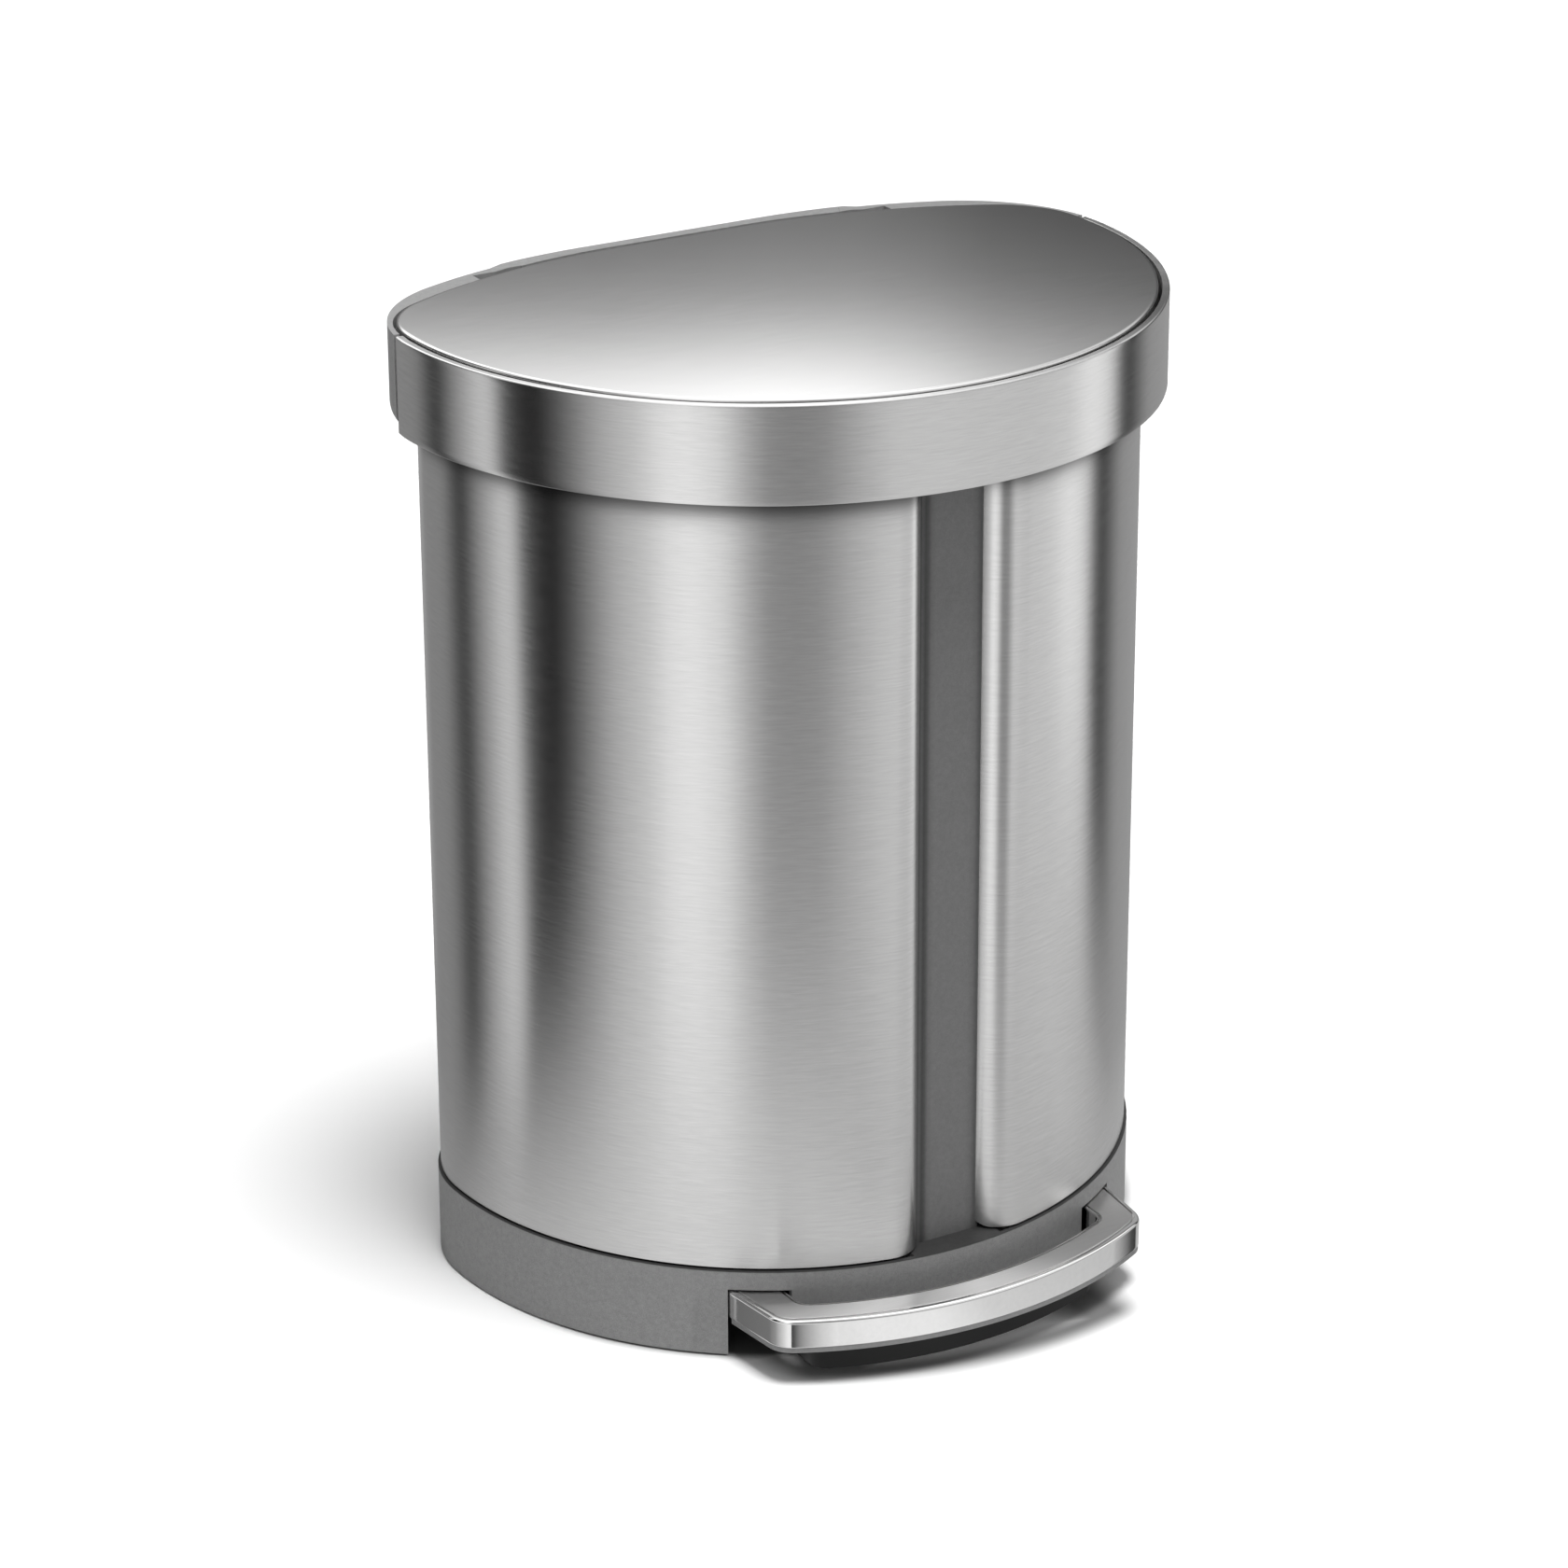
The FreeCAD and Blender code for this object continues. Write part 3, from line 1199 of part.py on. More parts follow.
# ---------------------------------------------------------------- pedal, lever and axle

def leg_to_circle(start, along, radius):
    """Give how far a ray runs from a start before it leaves a circle about the centre."""
    reach = start.dot(along)
    return -reach + math.sqrt(reach ** 2 - start.dot(start) + radius ** 2)


def pedal_outline(sketch, inset, heel, rear):
    """Draw the pedal's wide U: rounded front edge, slanted sides, two arms and the opening between."""
    front = value(f"{PEDAL_RADIUS} - {inset}")
    corner = value(f"pedal_corner - {inset}")
    heel_radius = value(heel)
    back = -value(rear)
    opening = value(f"pedal_opening_half_width + {inset}")
    draft = math.radians(value("pedal_draft"))
    slant = f"(({rear} - {PEDAL_ROOT}) * tan(pedal_draft) + {inset} / cos(pedal_draft))"
    rear_x = f"(pedal_root_half_width - {slant})"
    heel_turn = math.acos(opening / heel_radius)
    heel_y = -heel_radius * math.sin(heel_turn)
    start = Vector(value(rear_x), back, 0)
    along = Vector(-math.sin(draft), -math.cos(draft), 0)
    inward = Vector(-math.cos(draft), math.sin(draft), 0)
    offset = start + inward * corner
    centre = offset + along * leg_to_circle(offset, along, front - corner)
    turn = math.atan2(centre.y, centre.x)
    end = centre - inward * corner
    run = Chain(sketch)
    nose = run.arc((0, 0), front, math.pi - turn, 2 * math.pi + turn, f"{PEDAL_RADIUS} - {inset}")
    run.arc((centre.x, centre.y), corner, turn, -draft, f"pedal_corner - {inset}")
    right = run.line((end.x, end.y), (start.x, back))
    right_rear = run.line((start.x, back), (opening, back))
    right_inner = run.line((opening, back), (opening, heel_y))
    arch = run.arc((0, 0), heel_radius, math.pi + heel_turn, 2 * math.pi - heel_turn, heel, clockwise=True)
    left_inner = run.line((-opening, heel_y), (-opening, back))
    left_rear = run.line((-opening, back), (-start.x, back))
    left = run.line((-start.x, back), (-end.x, end.y))
    run.arc((-centre.x, centre.y), corner, math.pi + draft, math.pi - turn, f"pedal_corner - {inset}")
    run.join(corners=(2, 3, 4, 5, 6, 7))
    for arc in (nose, arch):
        fix_point(sketch, arc, 3, "0", "0")
    for line in (right_inner, left_inner):
        relate(sketch, "Vertical", line)
    for line in (right_rear, left_rear):
        relate(sketch, "Horizontal", line)
    fix_point(sketch, right_rear, 1, rear_x, f"-({rear})")
    fix_point(sketch, left, 1, f"-{rear_x}", f"-({rear})")
    size_constraint(sketch, "DistanceX", -1, 1, right_inner, 1, size=f"pedal_opening_half_width + {inset}")
    size_constraint(sketch, "DistanceX", -1, 1, left_inner, 1, size=f"-pedal_opening_half_width - {inset}")
    size_constraint(sketch, "Angle", right, size="90 - pedal_draft")
    size_constraint(sketch, "Angle", left, size="270 + pedal_draft")
    return sketch


def make_pedal_plate():
    """Steel tread of the pedal: a hollow wide U with rolled outer edges."""
    body = new_body("pedal_plate")
    height = "(pedal_top - pedal_skirt)"
    outline = pedal_outline(new_sketch(body, "pedal_skirt"), "0", PEDAL_INNER_RADIUS, PEDAL_ARM_REAR)
    tread = pad(body, outline, height)
    inner = value("pedal_opening_half_width")
    tall = value(height) - NEAR
    rounded = fillet(body, tread, lambda b: b.ZLength > tall and abs(abs(b.XMin) - inner) < NEAR
                     and b.YMin < -value(PEDAL_ROOT), "pedal_inner_corner")
    top = value("pedal_top")
    fillet(body, rounded, lambda b: b.ZMin > top - NEAR and outer_edge(b), "pedal_edge_roll")
    hollow = pedal_outline(new_sketch(body, "pedal_skirt"), "pedal_sheet",
                           f"{PEDAL_INNER_RADIUS} - pedal_sheet", f"{PEDAL_ARM_REAR} - pedal_sheet")
    cut(body, hollow, f"{height} - pedal_sheet", upward=True)


def outer_edge(bounds):
    """Say whether an edge of the pedal's top lies on its outer outline."""
    reach = max(abs(bounds.XMin), abs(bounds.XMax))
    return reach > value("pedal_opening_half_width") + NEAR and bounds.YLength > NEAR


def make_pedal_trim():
    """Plastic plate that closes the underside of the pedal."""
    body = new_body("pedal_trim")
    outline = pedal_outline(new_sketch(body, "pedal_skirt - trim_height"), "trim_inset",
                            f"{PEDAL_INNER_RADIUS} + trim_margin", f"{BASE_RADIUS} - trim_setback")
    pad(body, outline, "trim_height")


def make_pedal_lever():
    """Steel lever: two arms in the pedal, a cross bar behind the axle and a beam back to the rod."""
    body = new_body("pedal_lever")
    width = "lever_arm_outer - lever_arm_inner"
    for start in ("-lever_arm_outer", "lever_arm_inner"):
        profile = [(LEVER_FRONT, f"{PEDAL_UNDERSIDE} - lever_front_depth"),
                   (LEVER_FRONT, PEDAL_UNDERSIDE),
                   (LEVER_SHOULDER, PEDAL_UNDERSIDE),
                   (f"{AXLE_Y} - lever_eye_half_height", "axle_level + lever_eye_half_height"),
                   (CROSS_REAR, "axle_level + cross_half_height"),
                   (CROSS_REAR, "axle_level - cross_half_height"),
                   (f"{AXLE_Y} - lever_eye_half_height", "axle_level - lever_eye_half_height"),
                   (LEVER_SHOULDER, f"{PEDAL_UNDERSIDE} - lever_front_depth")]
        pad(body, polygon(new_sketch(body, start, "YZ_Plane"), profile), width)
    cross = rectangle(new_sketch(body, plane="YZ_Plane"), CROSS_FRONT, CROSS_REAR,
                      "axle_level - cross_half_height", "axle_level + cross_half_height")
    pad(body, cross, "2 * lever_arm_inner + overrun", both_ways=True)
    beam_end = f"({ROD_Y} + beam_rear_reach)"
    beam = [(CROSS_FRONT, "axle_level + cross_half_height"),
            (CROSS_FRONT, "axle_level - cross_half_height"),
            (f"{beam_end} - beam_pad_length", f"{BEAM_TOP} - beam_thickness"),
            (beam_end, f"{BEAM_TOP} - beam_thickness"),
            (beam_end, BEAM_TOP),
            (f"{beam_end} - beam_pad_length", BEAM_TOP)]
    pad(body, polygon(new_sketch(body, plane="YZ_Plane"), beam), "2 * beam_half_width", both_ways=True)
    bore = circles(new_sketch(body, plane="YZ_Plane"), [(AXLE_Y, "axle_level")],
                   "axle_radius + running_gap + bush_wall")
    cut(body, bore, both_ways=True)


def make_axle_bushes():
    """Plastic bushes in the lever's arms."""
    width = "lever_arm_outer - lever_arm_inner"
    bushes = []
    for start in ("-lever_arm_outer", "lever_arm_inner"):
        inner_radius = "axle_radius + running_gap"
        outer_radius = f"{inner_radius} + bush_wall"
        outer = cylinder(outer_radius, width, start, AXLE_Y, "axle_level", lengthwise=True)
        inner = cylinder(inner_radius, width, start, AXLE_Y, "axle_level", lengthwise=True)
        bushes.append(difference(outer, inner))
    group("axle_bushes", bushes)


def make_pedal_axle():
    """Steel axle that the lever rocks on."""
    reach = "(lever_arm_outer + axle_radius)"
    axle = cylinder("axle_radius", f"2 * {reach}", f"-{reach}", AXLE_Y, "axle_level", lengthwise=True)
    keep(axle, "pedal_axle", AXLE_Y)


def make_axle_bracket(side, label):
    """Steel bracket under the deck that carries the axle."""
    body = new_body(label)
    inner = "axle_bracket_inner"
    start = inner if side > 0 else f"-({inner} + axle_bracket_thickness)"
    plate = rectangle(new_sketch(body, start, "YZ_Plane"), f"{AXLE_Y} - axle_bracket_half_length",
                      f"{AXLE_Y} + axle_bracket_half_length", "axle_level - axle_bracket_below", "deck_level")
    pad(body, plate, "axle_bracket_thickness")
    ends = span(side, f"{inner} - axle_flange_width", f"{inner} + overrun")
    flange = rectangle(new_sketch(body, "deck_level - axle_flange_thickness"), *ends,
                       f"{AXLE_Y} - axle_bracket_half_length", f"{AXLE_Y} + axle_bracket_half_length")
    pad(body, flange, "axle_flange_thickness")
    bore = circles(new_sketch(body, plane="YZ_Plane"), [(AXLE_Y, "axle_level")], "axle_radius + running_gap")
    cut(body, bore, both_ways=True)
    drill(body, [(x, y) for x, y in AXLE_SCREWS if value(x) * side > 0], "deck_level",
          "axle_flange_thickness", SCREW_HOLE)


def make_bracket_screws():
    """Four screws from the axle brackets up into the deck."""
    seat = "deck_level - axle_flange_thickness"
    length = "axle_flange_thickness + deck_thickness"
    group("bracket_screws", [screw(x, y, seat, length, head_up=False) for x, y in AXLE_SCREWS])


# ---------------------------------------------------------------- build, check and write

make_base()
make_rubber_feet()
make_front_foot()
make_foot_screws()
make_body_sheet(-1, "body_sheet_left")
make_body_sheet(1, "body_sheet_right")
make_channel_strip()
make_back_channel()
make_rod_guides()
make_rim_frame()
make_rim_band()
make_hinge_cover()
make_lid_bumpers()
make_bucket(-1, "bucket_left")
make_bucket(1, "bucket_right")
make_hinge_bracket(-1, "hinge_bracket_left")
make_hinge_bracket(1, "hinge_bracket_right")
make_hinge_screws()
make_hinge_pin()
make_lid_skin()
make_lid_panel()
make_lid_hinge()
make_crank_pin()
make_lid_screws()
make_push_rod()
make_rod_foot()
make_rod_head()
make_rod_yoke()
make_damper_body()
make_damper_piston()
make_damper_clip()
make_pedal_plate()
make_pedal_trim()
make_pedal_lever()
make_axle_bushes()
make_pedal_axle()
make_axle_bracket(-1, "axle_bracket_left")
make_axle_bracket(1, "axle_bracket_right")
make_bracket_screws()
doc.recompute()

for item in doc.Objects:
    if "Invalid" in item.State or "Error" in item.State:
        raise RuntimeError(f"{item.Label} failed to build")
for part in parts:
    if part.Shape.isNull() or not part.Shape.isValid():
        raise RuntimeError(f"{part.Label} has no valid shape")

os.makedirs("parts", exist_ok=True)
for part in parts:
    part.Shape.exportStep(f"parts/{part.Label}.step")
    bounds = part.Shape.BoundBox
    print(f"{part.Label:20s} {len(part.Shape.Solids)} solid(s)  "
          f"x {bounds.XMin:7.1f} {bounds.XMax:7.1f}  y {bounds.YMin:7.1f} {bounds.YMax:7.1f}  "
          f"z {bounds.ZMin:6.1f} {bounds.ZMax:6.1f}")
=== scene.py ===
"""Dress of a semi-round pedal bin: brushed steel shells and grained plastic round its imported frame."""

import json
import logging
import math
from dataclasses import dataclass, field
from enum import Enum
from typing import Any, Mapping, Optional, Sequence, Union

import bpy
from mathutils import Matrix, Vector

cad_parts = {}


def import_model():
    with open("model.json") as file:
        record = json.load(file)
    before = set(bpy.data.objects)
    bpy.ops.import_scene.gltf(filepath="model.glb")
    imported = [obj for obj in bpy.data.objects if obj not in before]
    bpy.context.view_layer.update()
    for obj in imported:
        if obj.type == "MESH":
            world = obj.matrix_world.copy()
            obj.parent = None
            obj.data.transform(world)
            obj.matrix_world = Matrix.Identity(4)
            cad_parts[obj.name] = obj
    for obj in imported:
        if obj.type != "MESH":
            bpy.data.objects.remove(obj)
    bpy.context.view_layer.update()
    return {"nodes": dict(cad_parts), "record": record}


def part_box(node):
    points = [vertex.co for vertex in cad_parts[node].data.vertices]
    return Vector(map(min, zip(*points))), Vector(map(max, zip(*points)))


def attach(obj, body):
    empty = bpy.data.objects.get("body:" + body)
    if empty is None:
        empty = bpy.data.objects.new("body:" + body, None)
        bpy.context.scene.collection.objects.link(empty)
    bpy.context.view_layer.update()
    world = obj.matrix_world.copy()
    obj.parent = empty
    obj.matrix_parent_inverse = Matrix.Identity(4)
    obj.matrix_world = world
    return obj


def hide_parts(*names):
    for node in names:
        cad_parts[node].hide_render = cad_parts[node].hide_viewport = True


LOG = logging.getLogger("pedal_bin")
Pair = tuple[float, float]
Triple = tuple[float, float, float]
Colour = Triple
Input = Union["Signal", float, Sequence[float]]
Run = tuple[Pair, ...]
Rows = tuple[Triple, ...]

HALF_TURN = 180.0
DEGREES = HALF_TURN / math.pi
SAME_PLACE = 1e-6
WIDEST_TURN = math.radians(6.0)
WHITE = (1.0, 1.0, 1.0, 1.0)


# ---------------------------------------------------------------- shader trees

class Signal:
    """A socket of a shader tree on which arithmetic adds Math nodes."""

    def __init__(self, tree: "ShaderTree", socket: bpy.types.NodeSocket) -> None:
        """Keep a socket and the tree that it belongs to."""
        self.tree = tree
        self.socket = socket

    def __add__(self, other: Input) -> "Signal":
        """Add a value or a signal."""
        return self.tree.maths("ADD", self, other)

    def __radd__(self, other: Input) -> "Signal":
        """Add this signal to a value."""
        return self.tree.maths("ADD", other, self)

    def __sub__(self, other: Input) -> "Signal":
        """Take a value or a signal away."""
        return self.tree.maths("SUBTRACT", self, other)

    def __rsub__(self, other: Input) -> "Signal":
        """Take this signal away from a value."""
        return self.tree.maths("SUBTRACT", other, self)

    def __mul__(self, other: Input) -> "Signal":
        """Multiply by a value or a signal."""
        return self.tree.maths("MULTIPLY", self, other)

    def __rmul__(self, other: Input) -> "Signal":
        """Multiply a value by this signal."""
        return self.tree.maths("MULTIPLY", other, self)

    def __truediv__(self, other: Input) -> "Signal":
        """Divide by a value or a signal."""
        return self.tree.maths("DIVIDE", self, other)

    def __neg__(self) -> "Signal":
        """Turn the sign round."""
        return self.tree.maths("MULTIPLY", self, -1.0)


class Outputs:
    """The outputs of one node, each given as a signal."""

    def __init__(self, tree: "ShaderTree", node: bpy.types.Node) -> None:
        """Keep a node and its tree."""
        self.tree = tree
        self.node = node

    def __getitem__(self, name: Union[str, int]) -> Signal:
        """Give one output by name or number."""
        return Signal(self.tree, self.node.outputs[name])


class ShaderTree:
    """The node tree of one material or world."""

    def __init__(self, owner: Union[bpy.types.Material, bpy.types.World]) -> None:
        """Start an empty tree.

        Args:
            owner: The material or world that the tree belongs to.
        """
        owner.use_nodes = True
        self.tree = owner.node_tree
        self.tree.nodes.clear()

    def node(self, kind: str, settings: Optional[Mapping[str, Any]] = None,
             inputs: Optional[Mapping[Union[str, int], Input]] = None) -> Outputs:
        """Add one node.

        Args:
            kind: Blender's type name of the node.
            settings: Properties that are set first; "stops" fills a ramp.
            inputs: Values or signals for its sockets, by name or number.

        Returns:
            The node's outputs.
        """
        made = self.tree.nodes.new(kind)
        for name, choice in (settings or {}).items():
            if name == "stops":
                self._fill_ramp(made.color_ramp, choice)
            else:
                setattr(made, name, choice)
        for name, given in (inputs or {}).items():
            if isinstance(given, Signal):
                self.tree.links.new(given.socket, made.inputs[name])
            else:
                made.inputs[name].default_value = given
        return Outputs(self, made)

    def maths(self, operation: str, first: Input, second: Input = 0.0) -> Signal:
        """Add a Math node."""
        return self.node("ShaderNodeMath", {"operation": operation}, {0: first, 1: second})["Value"]

    @staticmethod
    def _fill_ramp(ramp: bpy.types.ColorRamp, stops: Sequence[tuple[float, Colour]]) -> None:
        """Set the stops of a colour ramp.

        Args:
            ramp: The ramp.
            stops: Pairs of a place from 0 to 1 and a colour.
        """
        while len(ramp.elements) > 1:
            ramp.elements.remove(ramp.elements[-1])
        first_place, first_colour = stops[0]
        ramp.elements[0].position = first_place
        ramp.elements[0].color = (*first_colour, 1.0)
        for place, colour in stops[1:]:
            ramp.elements.new(place).color = (*colour, 1.0)

    def noise(self, scale: Triple, detail: float, roughness: float = 0.5) -> Signal:
        """Add a noise over the object's own coordinates; the scale is in cycles a metre."""
        stretched = self.node("ShaderNodeVectorMath", {"operation": "MULTIPLY"}, {
            0: self.place("Object"), 1: scale})["Vector"]
        return self.node("ShaderNodeTexNoise", None, {
            "Vector": stretched, "Scale": 1.0, "Detail": detail, "Roughness": roughness})["Fac"]

    def place(self, kind: str) -> Signal:
        """Give the shaded point in one kind of coordinates."""
        return self.node("ShaderNodeTexCoord")[kind]

    def parts(self, place: Signal) -> Outputs:
        """Give a point's X, Y and Z."""
        return self.node("ShaderNodeSeparateXYZ", None, {0: place})

    def rise(self, value: Signal, low: Input, high: Input, curve: str = "SMOOTHSTEP") -> Signal:
        """Rise from 0 to 1 between two values."""
        return self.node("ShaderNodeMapRange", {"clamp": True, "interpolation_type": curve}, {
            "Value": value, "From Min": low, "From Max": high, "To Min": 0.0, "To Max": 1.0})["Result"]

    def graded(self, value: Signal, stops: Sequence[Pair], low: float, high: float) -> Signal:
        """Read a tone from a run of stops.

        Args:
            value: Where on the run.
            stops: Pairs of a place and a tone.
            low: The place where the run starts.
            high: The place where it ends.

        Returns:
            The tone.
        """
        run = [((at - low) / (high - low), (tone,) * 3) for at, tone in stops]
        share = (value - low) / (high - low)
        return self.node("ShaderNodeValToRGB", {"stops": run}, {"Fac": share})["Color"]

    def around(self, azimuth: Signal, stops: Sequence[Pair]) -> Signal:
        """Read a tone from stops over the azimuth in degrees."""
        return self.graded(azimuth, stops, -HALF_TURN, HALF_TURN)

    def bump(self, height: Signal, strength: float, depth: float) -> Signal:
        """Tilt the normal by a height."""
        return self.node("ShaderNodeBump", None, {
            "Strength": strength, "Distance": depth, "Height": height})["Normal"]

    def mix_colours(self, share: Input, low: Input, high: Input, blend: str = "MIX") -> Signal:
        """Mix two colours, each with its alpha."""
        return self.node("ShaderNodeMix", {"data_type": "RGBA", "blend_type": blend}, {
            0: share, 6: low, 7: high})[2]

    def mix_shaders(self, share: Signal, low: Signal, high: Signal) -> Signal:
        """Mix two shaders."""
        return self.node("ShaderNodeMixShader", None, {0: share, 1: low, 2: high})["Shader"]

    def glow(self, colour: Input, strength: float = 1.0) -> Signal:
        """Give off light."""
        return self.node("ShaderNodeEmission", None, {"Color": colour, "Strength": strength})["Emission"]

    def sky(self, colour: Input, strength: float = 1.0) -> Signal:
        """Give off a world's light."""
        return self.node("ShaderNodeBackground", None, {
            "Color": colour, "Strength": strength})["Background"]

    def paint(self, colour: Input) -> Signal:
        """Scatter light evenly."""
        return self.node("ShaderNodeBsdfDiffuse", None, {"Color": colour})["BSDF"]

    def surface(self, shader: Signal, kind: str = "ShaderNodeOutputMaterial") -> None:
        """End the tree in a shader."""
        self.node(kind, None, {"Surface": shader})


def linear(level: float) -> float:
    """Turn a display level from 0 to 255 into scene light."""
    share = level / 255.0
    return share / 12.92 if share <= 0.04045 else ((share + 0.055) / 1.055) ** 2.4


def grey(level: float, warmth: float = 0.0) -> Colour:
    """Give a grey of a display level from 0 to 255; warmth lifts red and lowers blue."""
    light = linear(level)
    return light * (1.0 + warmth), light, light * (1.0 - warmth)


def opaque(colour: Colour) -> tuple[float, float, float, float]:
    """Give a colour its alpha of one."""
    return (*colour, 1.0)


# ---------------------------------------------------------------- finishes

class Grain(Enum):
    """Which way a steel face is brushed, as cycles of its streaks a metre along X, Y and Z."""

    ROUND = (75.0, 75.0, 1300.0)
    ACROSS = (45.0, 1300.0, 1300.0)
    NONE = (300.0, 300.0, 300.0)


@dataclass(frozen=True)
class PaintedShade:
    """Painted shade that follows the distance from one face of a node's box.

    The corner is 0 for the face at the low end of the axis and 1 for the high end. Onward is the sense
    in which the tones run from that face.
    """

    node: str
    axis: str
    corner: int
    onward: float
    tones: Run

    def shaded(self, tree: ShaderTree, colour: Signal) -> Signal:
        """Paint shade into a colour by the distance from the face.

        Args:
            tree: The shader tree.
            colour: The colour without the painted shade.

        Returns:
            The colour with the painted shade.
        """
        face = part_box(self.node)[self.corner]["XYZ".index(self.axis)]
        away = self.onward * (tree.parts(tree.place("Object"))[self.axis] - face)
        shade = tree.graded(away, self.tones, 0.0, self.tones[-1][0])
        return tree.mix_colours(1.0, colour, shade, "MULTIPLY")


# painted shadow on the body sheets just below the rim band, darkest at its lower edge
UNDER_RIM_PAINTED_SHADE = PaintedShade("rim_band", "Z", 0, -1.0, (
    (0.0, 1.0), (0.0001, 0.15), (0.006, 0.2), (0.009, 0.34), (0.0115, 0.5), (0.014, 0.68),
    (0.017, 0.84), (0.021, 0.94), (0.028, 1.0)))
# painted shade on the base's top ledge, seen between the sheets
LEDGE_PAINTED_SHADE = PaintedShade("base", "Z", 1, -1.0, ((0.0, 0.14), (0.0003, 0.16), (0.0009, 0.95), (0.002, 1.0)))
# painted shade beside both side edges of the channel strip, where the rolled sheets meet it
STRIP_EDGE_PAINTED_SHADE = PaintedShade("channel_strip", "X", 0, 1.0, (
    (0.0, 0.5), (0.003, 0.5), (0.0046, 0.3), (0.0065, 0.42), (0.009, 0.85), (0.0125, 1.0), (0.038, 1.0),
    (0.042, 0.86), (0.0448, 0.55), (0.048, 0.5)))


def tone_with_painted_shade(tree: ShaderTree, share: Signal, tones: tuple[Colour, Colour],
           painted_shade: Optional[PaintedShade]) -> Signal:
    """Mix a finish's dark and light tone, and darken it with its painted shade where it has one."""
    colour = tree.mix_colours(share, *map(opaque, tones))
    return painted_shade.shaded(tree, colour) if painted_shade else colour


@dataclass(frozen=True)
class BrushedSteel:
    """Stainless steel with fine streaks of the brush."""

    name: str
    level: float
    roughness: float
    anisotropy: float
    turn: float
    grain: Grain
    contrast: float = 0.035
    depth: float = 0.000012
    # painted shade laid over the base colour, where one is given
    painted_shade: Optional[PaintedShade] = None
    warmth: float = 0.004
    broader: Triple = (2.0, 2.0, 2.5)
    fine_share: float = 0.65
    spread: Pair = (0.3, 0.7)
    cloud: Triple = (6.0, 6.0, 4.0)
    swing: float = 0.03
    bump: float = 0.3

    def build(self) -> bpy.types.Material:
        """Make the material.

        Returns:
            The new material.
        """
        material = bpy.data.materials.new(self.name)
        tree = ShaderTree(material)
        broader = tuple(cycles / times for cycles, times in zip(self.grain.value, self.broader))
        fine = tree.noise(self.grain.value, detail=2.0, roughness=0.6)
        broad = tree.noise(broader, detail=2.0)
        streak = self.fine_share * fine + (1.0 - self.fine_share) * broad
        cloud = tree.noise(self.cloud, detail=2.0)
        sharpened = tree.rise(streak, *self.spread, "LINEAR")
        tones = tuple(grey(self.level * (1.0 + part), self.warmth)
                      for part in (-self.contrast, self.contrast))
        rough = self.roughness + self.swing * (sharpened - 0.5) + self.swing * (cloud - 0.5)
        shader = tree.node("ShaderNodeBsdfPrincipled", None, {
            "Base Color": tone_with_painted_shade(tree, sharpened, tones, self.painted_shade), "Metallic": 1.0, "Roughness": rough,
            "Normal": tree.bump(streak, self.bump, self.depth),
            "Anisotropic": self.anisotropy, "Anisotropic Rotation": self.turn})["BSDF"]
        tree.surface(shader)
        return material


@dataclass(frozen=True)
class GrainedPlastic:
    """Moulded plastic with a fine spark-eroded grain."""

    name: str
    level: float
    roughness: float
    contrast: float = 0.08
    fineness: float = 1500.0
    depth: float = 0.00006
    specular: float = 0.4
    # painted shade laid over the base colour, where one is given
    painted_shade: Optional[PaintedShade] = None
    mottle_size: float = 5.0
    fine_share: float = 0.7
    spread: Pair = (0.32, 0.68)
    cloud: Triple = (9.0, 9.0, 9.0)
    grain_swing: float = 0.12
    cloud_swing: float = 0.05
    bump: float = 0.5

    def build(self) -> bpy.types.Material:
        """Make the material.

        Returns:
            The new material.
        """
        material = bpy.data.materials.new(self.name)
        tree = ShaderTree(material)
        grain = tree.noise((self.fineness,) * 3, detail=3.0, roughness=0.7)
        mottle = tree.noise((self.fineness / self.mottle_size,) * 3, detail=2.0)
        cloud = tree.noise(self.cloud, detail=2.0)
        mixed = self.fine_share * grain + (1.0 - self.fine_share) * mottle
        speckle = tree.rise(mixed, *self.spread, "LINEAR")
        tones = tuple(grey(self.level * (1.0 + part)) for part in (-self.contrast, self.contrast))
        rough = self.roughness + self.grain_swing * (grain - 0.5) + self.cloud_swing * (cloud - 0.5)
        shader = tree.node("ShaderNodeBsdfPrincipled", None, {
            "Base Color": tone_with_painted_shade(tree, speckle, tones, self.painted_shade), "Roughness": rough,
            "Normal": tree.bump(grain, self.bump, self.depth), "Specular IOR Level": self.specular})["BSDF"]
        tree.surface(shader)
        return material


